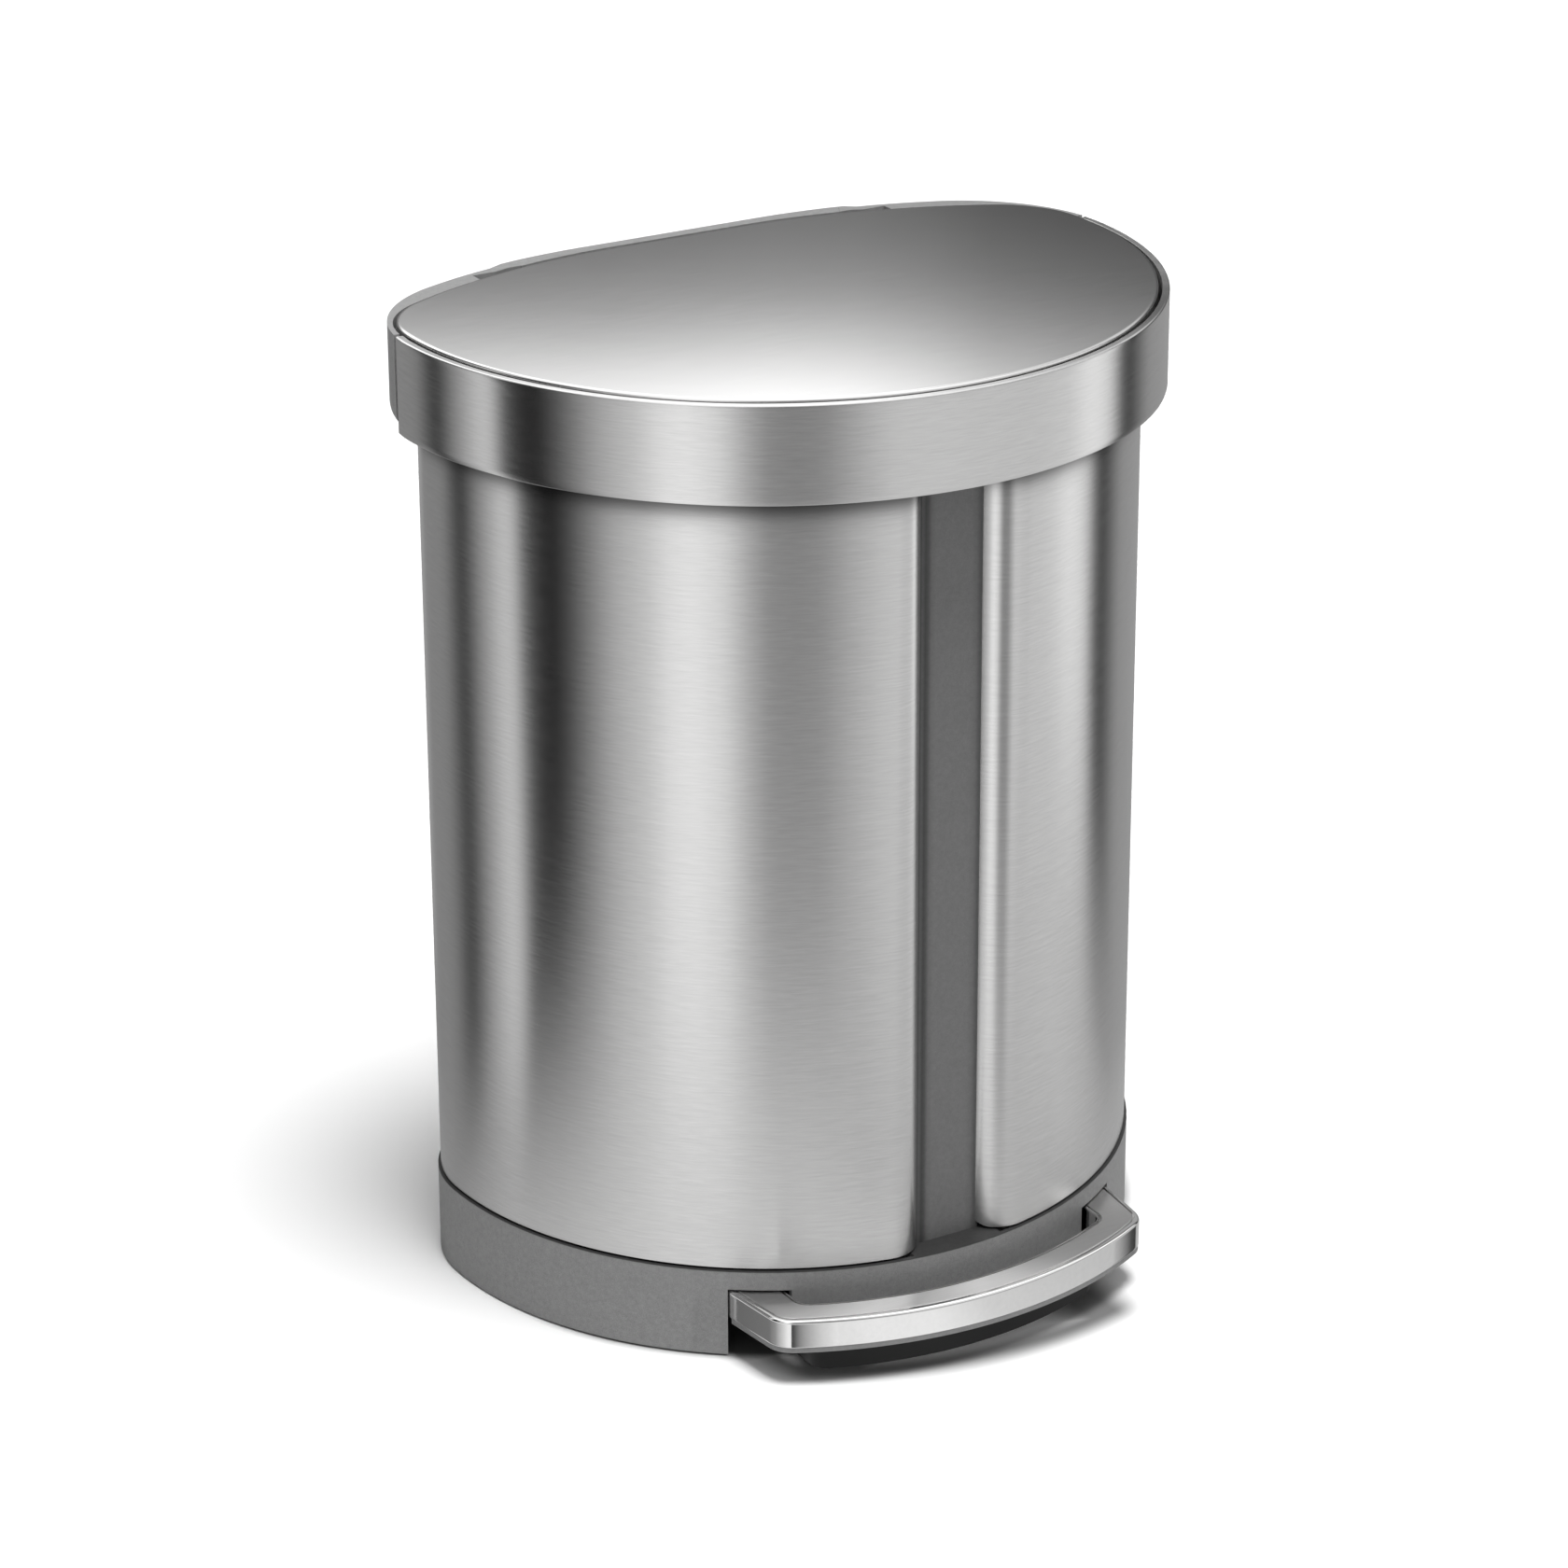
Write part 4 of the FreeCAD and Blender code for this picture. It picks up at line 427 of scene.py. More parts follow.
FINISHES: dict[str, Union[BrushedSteel, GrainedPlastic]] = {
    # the body steel carries a painted shadow just below the rim band
    "brushed_steel": BrushedSteel("body_steel", 208.0, 0.22, 0.95, 0.25, Grain.ROUND, 0.03,
                                  painted_shade=UNDER_RIM_PAINTED_SHADE),
    "lid_steel": BrushedSteel("lid_steel", 212.0, 0.18, 0.0, 0.0, Grain.ACROSS, 0.012),
    "pedal_steel": BrushedSteel("polished_steel", 232.0, 0.1, 0.0, 0.0, Grain.NONE, 0.01),
    "tread": BrushedSteel("tread_steel", 234.0, 0.42, 0.95, 0.25, Grain.ACROSS, 0.015, 0.000004),
    "plain_steel": BrushedSteel("zinc_steel", 185.0, 0.38, 0.0, 0.0, Grain.ROUND, 0.03),
    "grey_plastic": GrainedPlastic("grey_plastic", 147.0, 0.5, 0.11),
    # the base: grey plastic at a slightly darker level, with painted shade on its top ledge
    "base": GrainedPlastic("base_plastic", 142.0, 0.5, 0.11, painted_shade=LEDGE_PAINTED_SHADE),
    "dark_plastic": GrainedPlastic("dark_plastic", 111.0, 0.55),
    # the channel strip carries painted shade beside its side edges
    "strip": GrainedPlastic("strip_plastic", 113.0, 0.55, painted_shade=STRIP_EDGE_PAINTED_SHADE),
    "trim": GrainedPlastic("trim_plastic", 135.0, 0.4),
    "black_plastic": GrainedPlastic("foot_plastic", 20.0, 0.6, specular=0.25),
    "bucket_plastic": GrainedPlastic("bucket_plastic", 104.0, 0.42, 0.03, 900.0),
    "nylon": GrainedPlastic("nylon", 225.0, 0.45, 0.02, 900.0),
    "rubber": GrainedPlastic("rubber", 44.0, 0.75, 0.1),
}


class Wardrobe:
    """The finishes by slot, each made once."""

    def __init__(self) -> None:
        """Start with no material made."""
        self.made: dict[str, bpy.types.Material] = {}

    def material(self, slot: str) -> bpy.types.Material:
        """Give the material of a slot.

        Args:
            slot: A material slot of the record.

        Returns:
            The slot's one material.
        """
        if slot not in self.made:
            self.made[slot] = FINISHES[slot].build()
        return self.made[slot]


# ---------------------------------------------------------------- outlines and meshes

@dataclass(frozen=True)
class Station:
    """A place on an outline and the direction out of it."""

    x: float
    y: float
    out_x: float
    out_y: float

    def at(self, inset: float, z: float) -> Vector:
        """Give the point at an inset and a height."""
        return Vector((self.x - inset * self.out_x, self.y - inset * self.out_y, z))

    def across(self) -> "Station":
        """Give the station mirrored across the middle."""
        return Station(-self.x, self.y, -self.out_x, self.out_y)


@dataclass(frozen=True)
class Arc:
    """An arc of an outline; an inset keeps its centre."""

    x: float
    y: float
    radius: float
    start: float
    end: float

    def stations(self, step: float) -> list[Station]:
        """Divide the arc.

        Args:
            step: The longest piece, in metres.

        Returns:
            The stations, both ends included.
        """
        sweep = abs(self.end - self.start)
        count = max(2, math.ceil(self.radius * sweep / step), math.ceil(sweep / WIDEST_TURN))
        turns = [self.start + (self.end - self.start) * k / count for k in range(count + 1)]
        return [Station(self.x + self.radius * math.cos(t), self.y + self.radius * math.sin(t),
                        math.cos(t), math.sin(t)) for t in turns]


def joined(arcs: Sequence[Arc], step: float) -> list[Station]:
    """Run through tangent arcs without doubled stations.

    Args:
        arcs: The arcs in order.
        step: The longest piece of each, in metres.

    Returns:
        The stations of the whole run.
    """
    run: list[Station] = []
    for arc in arcs:
        for station in arc.stations(step):
            if not run or math.hypot(station.x - run[-1].x, station.y - run[-1].y) > SAME_PLACE:
                run.append(station)
    return run


def mirrored(run: Sequence[Station]) -> list[Station]:
    """Mirror a run across the middle, keeping its sense."""
    return [station.across() for station in reversed(run)]


@dataclass(frozen=True)
class Plan:
    """The rim's semi-round plan, from which most outlines are inset."""

    front: float = 0.2589
    corner: float = 0.1069
    back: float = 0.3248
    depth: float = 0.1237
    centre_y: float = 0.0803
    step: float = 0.006

    @property
    def corner_x(self) -> float:
        """Where the corner arcs have their centres."""
        return self.front - self.corner

    @property
    def back_y(self) -> float:
        """Height of the back arcs' centres in the plan."""
        return self.depth - self.back

    @property
    def back_x(self) -> float:
        """Side offset of the right back arc's centre."""
        return self.corner_x - math.sqrt((self.back - self.corner) ** 2 - self.back_y ** 2)

    @property
    def turn(self) -> float:
        """Angle at which a corner arc meets a back arc."""
        return math.atan2(-self.back_y, self.corner_x - self.back_x)

    def corner_angle(self, chord: float) -> float:
        """Angle on a corner arc at a chord's depth."""
        return math.asin(chord / self.corner)

    def arc(self, x: float, y: float, radius: float, start: float, end: float) -> Arc:
        """Give an arc about a place of the plan."""
        return Arc(x, y + self.centre_y, radius, start, end)

    def whole(self) -> list[Station]:
        """Give the closed outline, from the left end of the front round to the left corner."""
        right = self.back_side()
        left = [self.arc(-self.back_x, self.back_y, self.back, math.pi / 2, math.pi - self.turn),
                self.arc(-self.corner_x, 0.0, self.corner, math.pi - self.turn, math.pi)]
        nose = self.arc(0.0, 0.0, self.front, math.pi, 2 * math.pi)
        return joined([nose, *right, *left], self.step)[:-1]

    def back_side(self) -> list[Arc]:
        """Give the right corner arc and the right back arc."""
        return [self.arc(self.corner_x, 0.0, self.corner, 0.0, self.turn),
                self.arc(self.back_x, self.back_y, self.back, self.turn, math.pi / 2)]

    def ahead_of(self, chord: float) -> list[Station]:
        """Give the open outline in front of a chord across the plan."""
        first = self.corner_angle(chord)
        return joined([self.arc(-self.corner_x, 0.0, self.corner, math.pi - first, math.pi),
                       self.arc(0.0, 0.0, self.front, math.pi, 2 * math.pi),
                       self.arc(self.corner_x, 0.0, self.corner, 0.0, first)], self.step)


def new_piece(name: str, points: Sequence[Vector], faces: Sequence[Sequence[int]],
              material: bpy.types.Material, sharp: float = 40.0) -> bpy.types.Object:
    """Make a mesh object with smooth faces and sharp creases.

    Args:
        name: Name of the piece.
        points: Its vertices.
        faces: Its faces, as numbers of vertices.
        material: Its finish.
        sharp: Angle in degrees above which an edge is a crease.

    Returns:
        The new object, linked to the scene.
    """
    mesh = bpy.data.meshes.new(name)
    mesh.from_pydata([tuple(p) for p in points], [], [tuple(f) for f in faces])
    mesh.validate()
    mesh.materials.append(material)
    mesh.shade_smooth()
    mesh.set_sharp_from_angle(angle=math.radians(sharp))
    piece = bpy.data.objects.new(name, mesh)
    bpy.context.scene.collection.objects.link(piece)
    return piece


def swept(rings: Sequence[Sequence[Vector]], ring_closed: bool, run_closed: bool,
          caps: bool = False) -> tuple[list[Vector], list[list[int]]]:
    """Skin a run of rings.

    Args:
        rings: The rings, each with as many points as the others.
        ring_closed: Whether each ring closes on itself.
        run_closed: Whether the last ring joins the first.
        caps: Whether the first and last ring are filled.

    Returns:
        The points and the faces.
    """
    size = len(rings[0])
    points = [point for ring in rings for point in ring]
    faces: list[list[int]] = []
    for k in range(len(rings) if run_closed else len(rings) - 1):
        here = k * size
        there = (k + 1) % len(rings) * size
        for j in range(size if ring_closed else size - 1):
            nearby = (j + 1) % size
            faces.append([here + j, there + j, there + nearby, here + nearby])
    if caps:
        faces.append(list(range(size)))
        faces.append(list(range(len(points) - 1, len(points) - size - 1, -1)))
    return points, faces


def filled(rings: Sequence[Sequence[Vector]]) -> tuple[list[Vector], list[list[int]]]:
    """Skin a closed run of open rings, and fill it below and above."""
    points, faces = swept(rings, False, True)
    size = len(rings[0])
    faces.append([k * size + size - 1 for k in range(len(rings))])
    faces.append([k * size for k in reversed(range(len(rings)))])
    return points, faces


def rounded(x: float, z: float, radius: float, start: float, end: float, count: int = 6) -> list[Pair]:
    """Give the points of a small round in a section.

    Args:
        x: Inset of its centre.
        z: Height of its centre.
        radius: Its radius.
        start: First angle in degrees, 0 towards the inside and 90 up.
        end: Last angle in degrees.
        count: Pieces of the round.

    Returns:
        Pairs of inset and height.
    """
    turns = [math.radians(start + (end - start) * k / count) for k in range(count + 1)]
    return [(x + radius * math.cos(t), z + radius * math.sin(t)) for t in turns]


# ---------------------------------------------------------------- sub-assemblies

@dataclass
class SubAssembly:
    """What every sub-assembly shares: its finishes, the rim's plan and its body."""

    wardrobe: Wardrobe
    plan: Plan
    body: str = "can"

    def add(self, name: str, skin: tuple[list[Vector], list[list[int]]], slot: str, node: str,
            finish: str = "") -> None:
        """Make a piece, put it on the frame and report it.

        Args:
            name: Name of the piece.
            skin: Its points and faces.
            slot: Its material slot.
            node: The frame's node that it stands for.
            finish: Its finish where that isn't the slot's own.
        """
        piece = new_piece(name, *skin, self.wardrobe.material(finish or slot))
        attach(piece, self.body)
        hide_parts(node)
        LOG.info("%s on %s: %d faces, %s", name, self.body, len(piece.data.polygons), slot)


@dataclass
class RimBand(SubAssembly):
    """The steel band round the rim, with rolled edges and a narrow flange on top."""

    chord: float = 0.0155
    sheet: float = 0.0012
    flange: float = 0.005
    flange_sheet: float = 0.0011
    flange_roll: float = 0.0004
    flange_lip: float = 0.0006
    top_roll: float = 0.0013
    bottom_roll: float = 0.0005
    margin: float = 0.004

    def build(self) -> None:
        """Make the band and put it on the rim."""
        low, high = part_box("rim_band")
        top = self.top_roll
        foot = self.bottom_roll
        edge = self.flange_roll
        section = rounded(foot, low.z + foot, foot, 270.0, 180.0, count=3)
        section += [(0.0, low.z + self.margin), (0.0, high.z - self.margin)]
        section += rounded(top, high.z - top, top, 180.0, 90.0)
        section += [(top + edge, high.z), (self.flange - self.flange_lip, high.z)]
        section += rounded(self.flange - edge, high.z - edge, edge, 90.0, 0.0, count=3)
        section += [(self.flange, high.z - self.flange_sheet), (self.sheet, high.z - self.flange_sheet),
                    (self.sheet, low.z)]
        run = self.plan.ahead_of(self.chord)
        rings = [[station.at(inset, z) for inset, z in section] for station in run]
        self.add("rim_band_shell", swept(rings, True, False, caps=True), "brushed_steel", "rim_band")


@dataclass
class Lid(SubAssembly):
    """The flush steel lid with its rolled edge."""

    body: str = "lid"
    inset: float = 0.0072
    back_inset: float = 0.0121
    back: float = 0.36
    corner: float = 0.065
    flat_x: float = 0.048
    roll: float = 0.002
    sheet: float = 0.001
    flat: float = 0.016
    relief_x: float = 0.118
    relief_y: float = 0.176
    relief_edge: float = 0.0032
    margin: float = 0.0008
    step: float = 0.004

    def outline(self) -> list[Station]:
        """Give the lid's closed outline."""
        front = self.plan.front - self.inset
        depth = self.plan.depth - self.back_inset
        back_y = depth - self.back
        reach = front - self.corner
        far = math.hypot(self.flat_x, back_y)
        along = (reach ** 2 + far ** 2 - (self.back - self.corner) ** 2) / (2 * reach)
        first = math.atan2(back_y, self.flat_x) + math.acos(along / far)
        corner_x = reach * math.cos(first)
        corner_y = reach * math.sin(first)
        turn = math.atan2(corner_y - back_y, corner_x - self.flat_x)
        arc = self.plan.arc
        arcs = [arc(0.0, 0.0, front, math.pi - first, 2 * math.pi + first),
                arc(corner_x, corner_y, self.corner, first, turn),
                arc(self.flat_x, back_y, self.back, turn, math.pi / 2),
                arc(-self.flat_x, back_y, self.back, math.pi / 2, math.pi - turn),
                arc(-corner_x, corner_y, self.corner, math.pi - turn, math.pi - first)]
        return joined(arcs, self.step)[:-1]

    def section(self, foot: float, top: float) -> list[Pair]:
        """Give the section of the lid's edge.

        Args:
            foot: Height of the lower edge.
            top: Height of the flat.

        Returns:
            Pairs of inset and height, from below to the flat.
        """
        under = top - self.sheet
        section = [(self.flat, under), (self.sheet + self.roll, under), (self.sheet, under - self.roll),
                   (self.sheet, foot), (0.0, foot), (0.0, (foot + top - self.roll) / 2)]
        section += rounded(self.roll, top - self.roll, self.roll, 180.0, 90.0, count=8)
        return section + [(self.roll + self.margin, top), (self.flat, top)]

    def foot(self, station: Station, low: float, top: float) -> float:
        """Give how far down the edge comes: less above the hinge."""
        relieved = abs(station.x) < self.relief_x and station.y > self.relief_y
        return top - self.relief_edge if relieved else low

    def build(self) -> None:
        """Make the lid's skin."""
        low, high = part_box("lid_skin")
        rings = []
        for station in self.outline():
            section = self.section(self.foot(station, low.z, high.z), high.z)
            rings.append([station.at(inset, z) for inset, z in section])
        self.add("lid_shell", filled(rings), "lid_steel", "lid_skin")


@dataclass
class BodySheets(SubAssembly):
    """The two brushed sheets of the body, rolled in at the front channel."""

    inset: float = 0.0167
    sheet: float = 0.0008
    wall_x: float = 0.019
    wide_roll: float = 0.024
    tight_roll: float = 0.026
    roll_turn: float = 30.0
    wall_end: float = -0.2248
    foot_round: float = 0.011
    gap: float = 0.0013
    edge: float = 0.0003
    margin: float = 0.003
    step: float = 0.004

    def outline(self) -> list[Station]:
        """Give the outer face of the right sheet, from inside the channel to the middle of the back."""
        plan = self.plan
        front = plan.front - self.inset
        turn = math.radians(self.roll_turn)
        growth = self.wide_roll - self.tight_roll
        tight_x = self.wall_x + self.tight_roll
        wide_x = tight_x + growth * math.sin(turn)
        wide_y = -math.sqrt((front - self.wide_roll) ** 2 - wide_x ** 2)
        tight_y = wide_y - growth * math.cos(turn)
        meet = math.atan2(wide_y, wide_x)
        inside = -math.pi / 2 - math.acos((tight_y - self.wall_end) / self.tight_roll)
        split = -math.pi / 2 - turn
        corner, back = plan.back_side()
        arcs = [plan.arc(tight_x, tight_y, self.tight_roll, inside, split),
                plan.arc(wide_x, wide_y, self.wide_roll, split, meet),
                plan.arc(0.0, 0.0, front, meet, 0.0),
                Arc(corner.x, corner.y, corner.radius - self.inset, corner.start, corner.end),
                Arc(back.x, back.y, back.radius - self.inset, back.start, back.end)]
        run = joined(arcs, self.step)
        run.append(Station(self.wall_x, run[-1].y, 0.0, 1.0))
        return run

    def foot_lift(self, x: float, y: float) -> float:
        """Say how far the lower edge rises beside the channel."""
        beside = self.wall_x + self.foot_round - abs(x)
        if y > 0.0 or beside <= 0.0:
            return 0.0
        return self.foot_round - math.sqrt(max(0.0, self.foot_round ** 2 - beside ** 2))

    def build(self) -> None:
        """Make both sheets."""
        for side in ("right", "left"):
            node = f"body_sheet_{side}"
            low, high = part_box(node)
            run = self.outline() if side == "right" else mirrored(self.outline())
            rings = []
            for station in run:
                foot = low.z + self.gap + self.foot_lift(station.x, station.y)
                rings.append([station.at(0.0, foot + self.edge), station.at(0.0, foot + self.margin),
                              station.at(0.0, high.z), station.at(self.sheet, high.z),
                              station.at(self.sheet, foot), station.at(self.edge, foot)])
            self.add(f"sheet_{side}", swept(rings, True, False, caps=True), "brushed_steel", node)


@dataclass
class Pedal(SubAssembly):
    """The wide pedal: a polished rolled rim and skirt round a brushed tread."""

    body: str = "pedal"
    front: float = 0.2843
    heel: float = 0.26
    corner: float = 0.02
    root_x: float = 0.146
    root_y: float = -0.195
    rear_y: float = -0.178
    opening: float = 0.115
    inner_corner: float = 0.01
    draft: float = 6.0
    roll: float = 0.0024
    inner_roll: float = 0.0012
    sheet: float = 0.0015
    hem: float = 0.0005
    lip: float = 0.0009
    ledge: float = 0.004
    groove: float = 0.0012
    groove_depth: float = 0.0014
    arch_skirt: float = 0.005
    seat: float = 0.0001
    step: float = 0.003

    def outer(self) -> list[Station]:
        """Give the right half of the outer edge, from the middle of the nose to the rear corner."""
        draft = math.radians(self.draft)
        slant = Vector((math.cos(draft), -math.sin(draft)))
        along = Vector((-math.sin(draft), -math.cos(draft)))
        start = Vector((self.root_x + (self.rear_y - self.root_y) * math.tan(draft), self.rear_y))
        offset = start - slant * self.corner
        reach = offset.dot(along)
        inner = self.front - self.corner
        centre = offset + along * (math.sqrt(reach ** 2 - offset.dot(offset) + inner ** 2) - reach)
        turn = math.atan2(centre.y, centre.x)
        run = joined([self.plan.arc(0.0, 0.0, self.front, -math.pi / 2, turn),
                      self.plan.arc(centre.x, centre.y, self.corner, turn, -draft)], self.step)
        run.append(Station(start.x, start.y + self.plan.centre_y, slant.x / (1.0 + slant.y), 1.0))
        return run

    def inner(self) -> list[Station]:
        """Give the right half of the opening's edge, from the rear corner to the middle of the arch."""
        bend_x = self.opening - self.inner_corner
        bend_y = -math.sqrt((self.heel - self.inner_corner) ** 2 - bend_x ** 2)
        turn = math.atan2(bend_y, bend_x)
        arcs = joined([self.plan.arc(bend_x, bend_y, self.inner_corner, 0.0, turn),
                       self.plan.arc(0.0, 0.0, self.heel, turn, -math.pi / 2)], self.step)
        rear = Station(self.opening, self.rear_y + self.plan.centre_y, -1.0, 1.0)
        return [rear] + [Station(s.x, s.y, -s.out_x, -s.out_y) for s in arcs]

    def outline(self, low: float, top: float) -> list[tuple[Station, float, float]]:
        """Give the whole outline.

        Args:
            low: Height of the skirt's lower edge.
            top: Height of the tread.

        Returns:
            Each station with the roll of the edge and the height of the skirt's lower edge there.
        """
        inner = self.inner()
        half = [(s, self.roll, low) for s in self.outer()]
        half += [(s, self.inner_roll, low) for s in inner[:2]]
        half += [(s, self.inner_roll, top - self.arch_skirt) for s in inner[2:]]
        other = [(station.across(), roll, foot) for station, roll, foot in reversed(half)]
        return half + other[1:-1]

    def skirt_section(self, roll: float, low: float, top: float) -> list[Pair]:
        """Give the section of the rolled rim and skirt.

        Args:
            roll: Radius of the edge.
            low: Height of the lower edge.
            top: Height of the tread.

        Returns:
            Pairs of inset and height.
        """
        edge = roll + self.lip
        floor = top - self.groove_depth
        section = rounded(self.hem, low + self.hem, self.hem, 270.0, 180.0, count=3)
        section += [(0.0, low + 3 * self.hem), (0.0, top - roll - self.hem)]
        section += rounded(roll, top - roll, roll, 180.0, 90.0, count=8)
        return section + [(edge, top), (edge, floor), (edge + self.ledge, floor),
                          (edge + self.ledge, floor - self.hem), (self.sheet, floor - self.hem),
                          (self.sheet, low)]

    def tread_section(self, roll: float, top: float) -> list[Pair]:
        """Give the section of the tread's edge.

        Args:
            roll: Radius of the edge round it.
            top: Height of the tread.

        Returns:
            Pairs of inset and height, from below to the flat.
        """
        edge = roll + self.lip + self.groove
        bevel = self.hem / 2
        floor = top - self.groove_depth + self.seat
        return [(edge + 4 * bevel, floor), (edge, floor), (edge, top - bevel), (edge + bevel, top),
                (edge + 4 * bevel, top)]

    def build(self) -> None:
        """Make the rim and the tread."""
        low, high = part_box("pedal_plate")
        outline = self.outline(low.z, high.z)
        rings = [[station.at(inset, z) for inset, z in self.skirt_section(roll, foot, high.z)]
                 for station, roll, foot in outline]
        self.add("pedal_rim", swept(rings, True, True), "pedal_steel", "pedal_plate")
        rings = [[station.at(inset, z) for inset, z in self.tread_section(roll, high.z)]
                 for station, roll, _ in outline]
        self.add("pedal_tread", filled(rings), "pedal_steel", "pedal_plate", "tread")


@dataclass
class Carried:
    """The frame's own nodes, each dressed in a finish of its own or in its slot's."""

    wardrobe: Wardrobe
    nodes: Mapping[str, bpy.types.Object]
    slots: Mapping[str, str]
    # the base and the channel strip get finishes that carry painted shade
    special: Mapping[str, str] = field(default_factory=lambda: {
        "pedal_trim": "trim", "base": "base", "channel_strip": "strip"})

    def build(self) -> None:
        """Dress every node."""
        for name, node in self.nodes.items():
            slot = self.slots[name]
            finish = self.wardrobe.material(self.special.get(name, slot))
            if not node.data.materials:
                node.data.materials.append(finish)
            for place in node.material_slots:
                place.material = finish
            LOG.info("%s: dressed in %s", name, slot)


# ---------------------------------------------------------------- studio

@dataclass(frozen=True)
class Camera:
    """The viewing angle and lens."""

    azimuth: float = -30.673
    elevation: float = 22.383
    roll: float = -0.218
    distance: float = 3.3441
    lens: float = 117.04
    sensor: float = 36.0
    aim: Triple = (0.0, 0.01396, 0.325)
    aside: float = -0.02344
    above: float = -0.00127

    def build(self) -> None:
        """Make the camera and give it to the scene."""
        around, up_angle, roll = (math.radians(a) for a in (self.azimuth, self.elevation, self.roll))
        back = Vector((math.sin(around) * math.cos(up_angle), -math.cos(around) * math.cos(up_angle),
                       math.sin(up_angle)))
        right = Vector((math.cos(around), math.sin(around), 0.0))
        up = back.cross(right)
        place = Vector(self.aim) + right * self.aside + up * self.above + back * self.distance
        across = right * math.cos(roll) + up * math.sin(roll)
        tall = up * math.cos(roll) - right * math.sin(roll)
        lens = bpy.data.cameras.new("camera")
        lens.lens = self.lens
        lens.sensor_width = self.sensor
        camera = bpy.data.objects.new("camera", lens)
        turned = Matrix((across, tall, back)).transposed().to_4x4()
        camera.matrix_world = Matrix.Translation(place) @ turned
        bpy.context.scene.collection.objects.link(camera)
        bpy.context.scene.camera = camera


@dataclass(frozen=True)
class Studio:
    """White floor, ring of soft boxes and dark cards, key lamp and cards for the lid and the pedal."""

    gain: float = 1.75
    ambient: float = 0.56
    key_strength: float = 2.45
    key_spread: float = 22.0
    key_azimuth: float = 6.0
    key_elevation: float = 78.0
    floor_radius: float = 14.0
    floor_sides: int = 96
    floor_seen: float = 1.06
    contact: Pair = (0.237, 0.252)
    toe_inner: Pair = (0.262, 0.28)
    toe_outer: Pair = (0.28, 0.302)
    toe_centre: float = 0.03
    toe_fill: Pair = (0.045, 0.085)
    toe_left: Pair = (-0.142, -0.112)
    toe_right: Pair = (0.1, 0.13)
    toe_ahead: Pair = (-0.14, -0.04)
    contact_shade: float = 0.9
    toe_shade: float = 0.8
    floor_level: float = 232.0
    centre_y: float = 0.0803
    pedal_zone: Pair = (0.385, 0.41)
    glow_near: float = 0.4
    glow_pedal: Run = (
        (-180, 0.3), (-112, 0.38), (-84, 0.66), (-50, 0.95), (-20, 0.9), (-14, 0.98), (-4, 0.98),
        (6, 0.75), (30, 0.62), (90, 0.5), (180, 0.3))
    glow_body: Run = (
        (-180, 0.25), (-112, 0.36), (-84, 0.66), (-56, 0.95), (-43, 0.98), (-21, 0.9), (-7, 0.66),
        (31, 0.69), (52, 0.72), (66, 0.6), (76, 0.44), (110, 0.4), (180, 0.25))
    glow_reach: Run = (
        (-180, 0.6), (-112, 0.62), (-84, 0.95), (-60, 1.05), (-20, 1.1), (5, 1.25), (25, 1.9),
        (62, 1.9), (85, 1.0), (180, 0.6))
    cards: Run = (
        (-180, 116), (-147, 120), (-141, 42), (-136, 30), (-131, 116), (-125, 156),
        (-118, 194), (-114, 184), (-110, 24), (-104, 6), (-98, 14), (-92, 76), (-86, 120), (-78, 162),
        (-68, 188), (-60, 218), (-53, 224), (-44, 206), (-36, 160), (-30, 128), (-22, 122),
        (-14, 130), (-4, 164), (6, 188), (20, 191), (50, 184), (64, 192), (74, 222), (84, 210), (89, 66),
        (95, 30), (108, 130))
    rise: Rows = (
        (-90, 1.0, 0.0), (-7, 1.0, 0.0), (-1, 0.35, 0.0), (9, 0.35, 0.0), (16, 1.05, 0.0),
        (42, 1.05, 0.0), (54, 0.0, 0.9), (90, 0.0, 0.9))
    sky: Run = ((-90, 0.35), (0, 0.35), (30, 0.5), (60, 0.75), (90, 0.8))
    sky_lean: float = 0.8
    sky_azimuth: float = 5.0
    fence_foot: float = 0.0005
    fence_top: float = 0.034
    fences: tuple[tuple[str, Rows], ...] = (
        ("fence_left", (
            (-0.166, -0.1, 0.16), (-0.169, -0.135, 0.2), (-0.1715, -0.1575, 0.33), (-0.163, -0.179, 0.75),
            (-0.1565, -0.188, 1.0), (-0.1516, -0.1949, 1.0), (-0.1515, -0.195, 0.05),
            (-0.145, -0.199, 0.12), (-0.137, -0.2033, 0.4), (-0.125, -0.2085, 0.72),
            (-0.112, -0.213, 0.95))),
        ("fence_right", (
            (0.138, -0.1895, 0.55), (0.1497, -0.182, 0.3), (0.16, -0.176, 0.08), (0.1677, -0.169, 0.03),
            (0.1678, -0.1688, 0.45), (0.172, -0.15, 0.6), (0.17, -0.13, 0.5))))
    lid_rise: Run = (
        (0.03, 0.13), (0.07, 0.18), (0.11, 0.24), (0.14, 0.4), (0.17, 0.72), (0.2, 1.18), (0.24, 1.55),
        (0.4, 1.62))
    lid_side: Run = (
        (-0.3, 0.8), (-0.12, 0.87), (0.0, 1.0), (0.06, 0.97), (0.11, 0.83), (0.16, 0.62), (0.22, 0.5),
        (0.3, 0.4))
    lid_gain: float = 1.45
    lid_top: float = 0.6516
    lid_range: float = 0.5
    card_facing: Pair = (0.51, 0.86)
    card_away: float = 0.33
    card_half: float = 0.9
    card_heights: Pair = (0.655, 1.6)
    card_range: float = 0.4

    def build(self) -> None:
        """Make the world, the floor, the lamps and the cards."""
        self._world()
        self._floor()
        self._key()
        self._lid_card()
        self._fences()

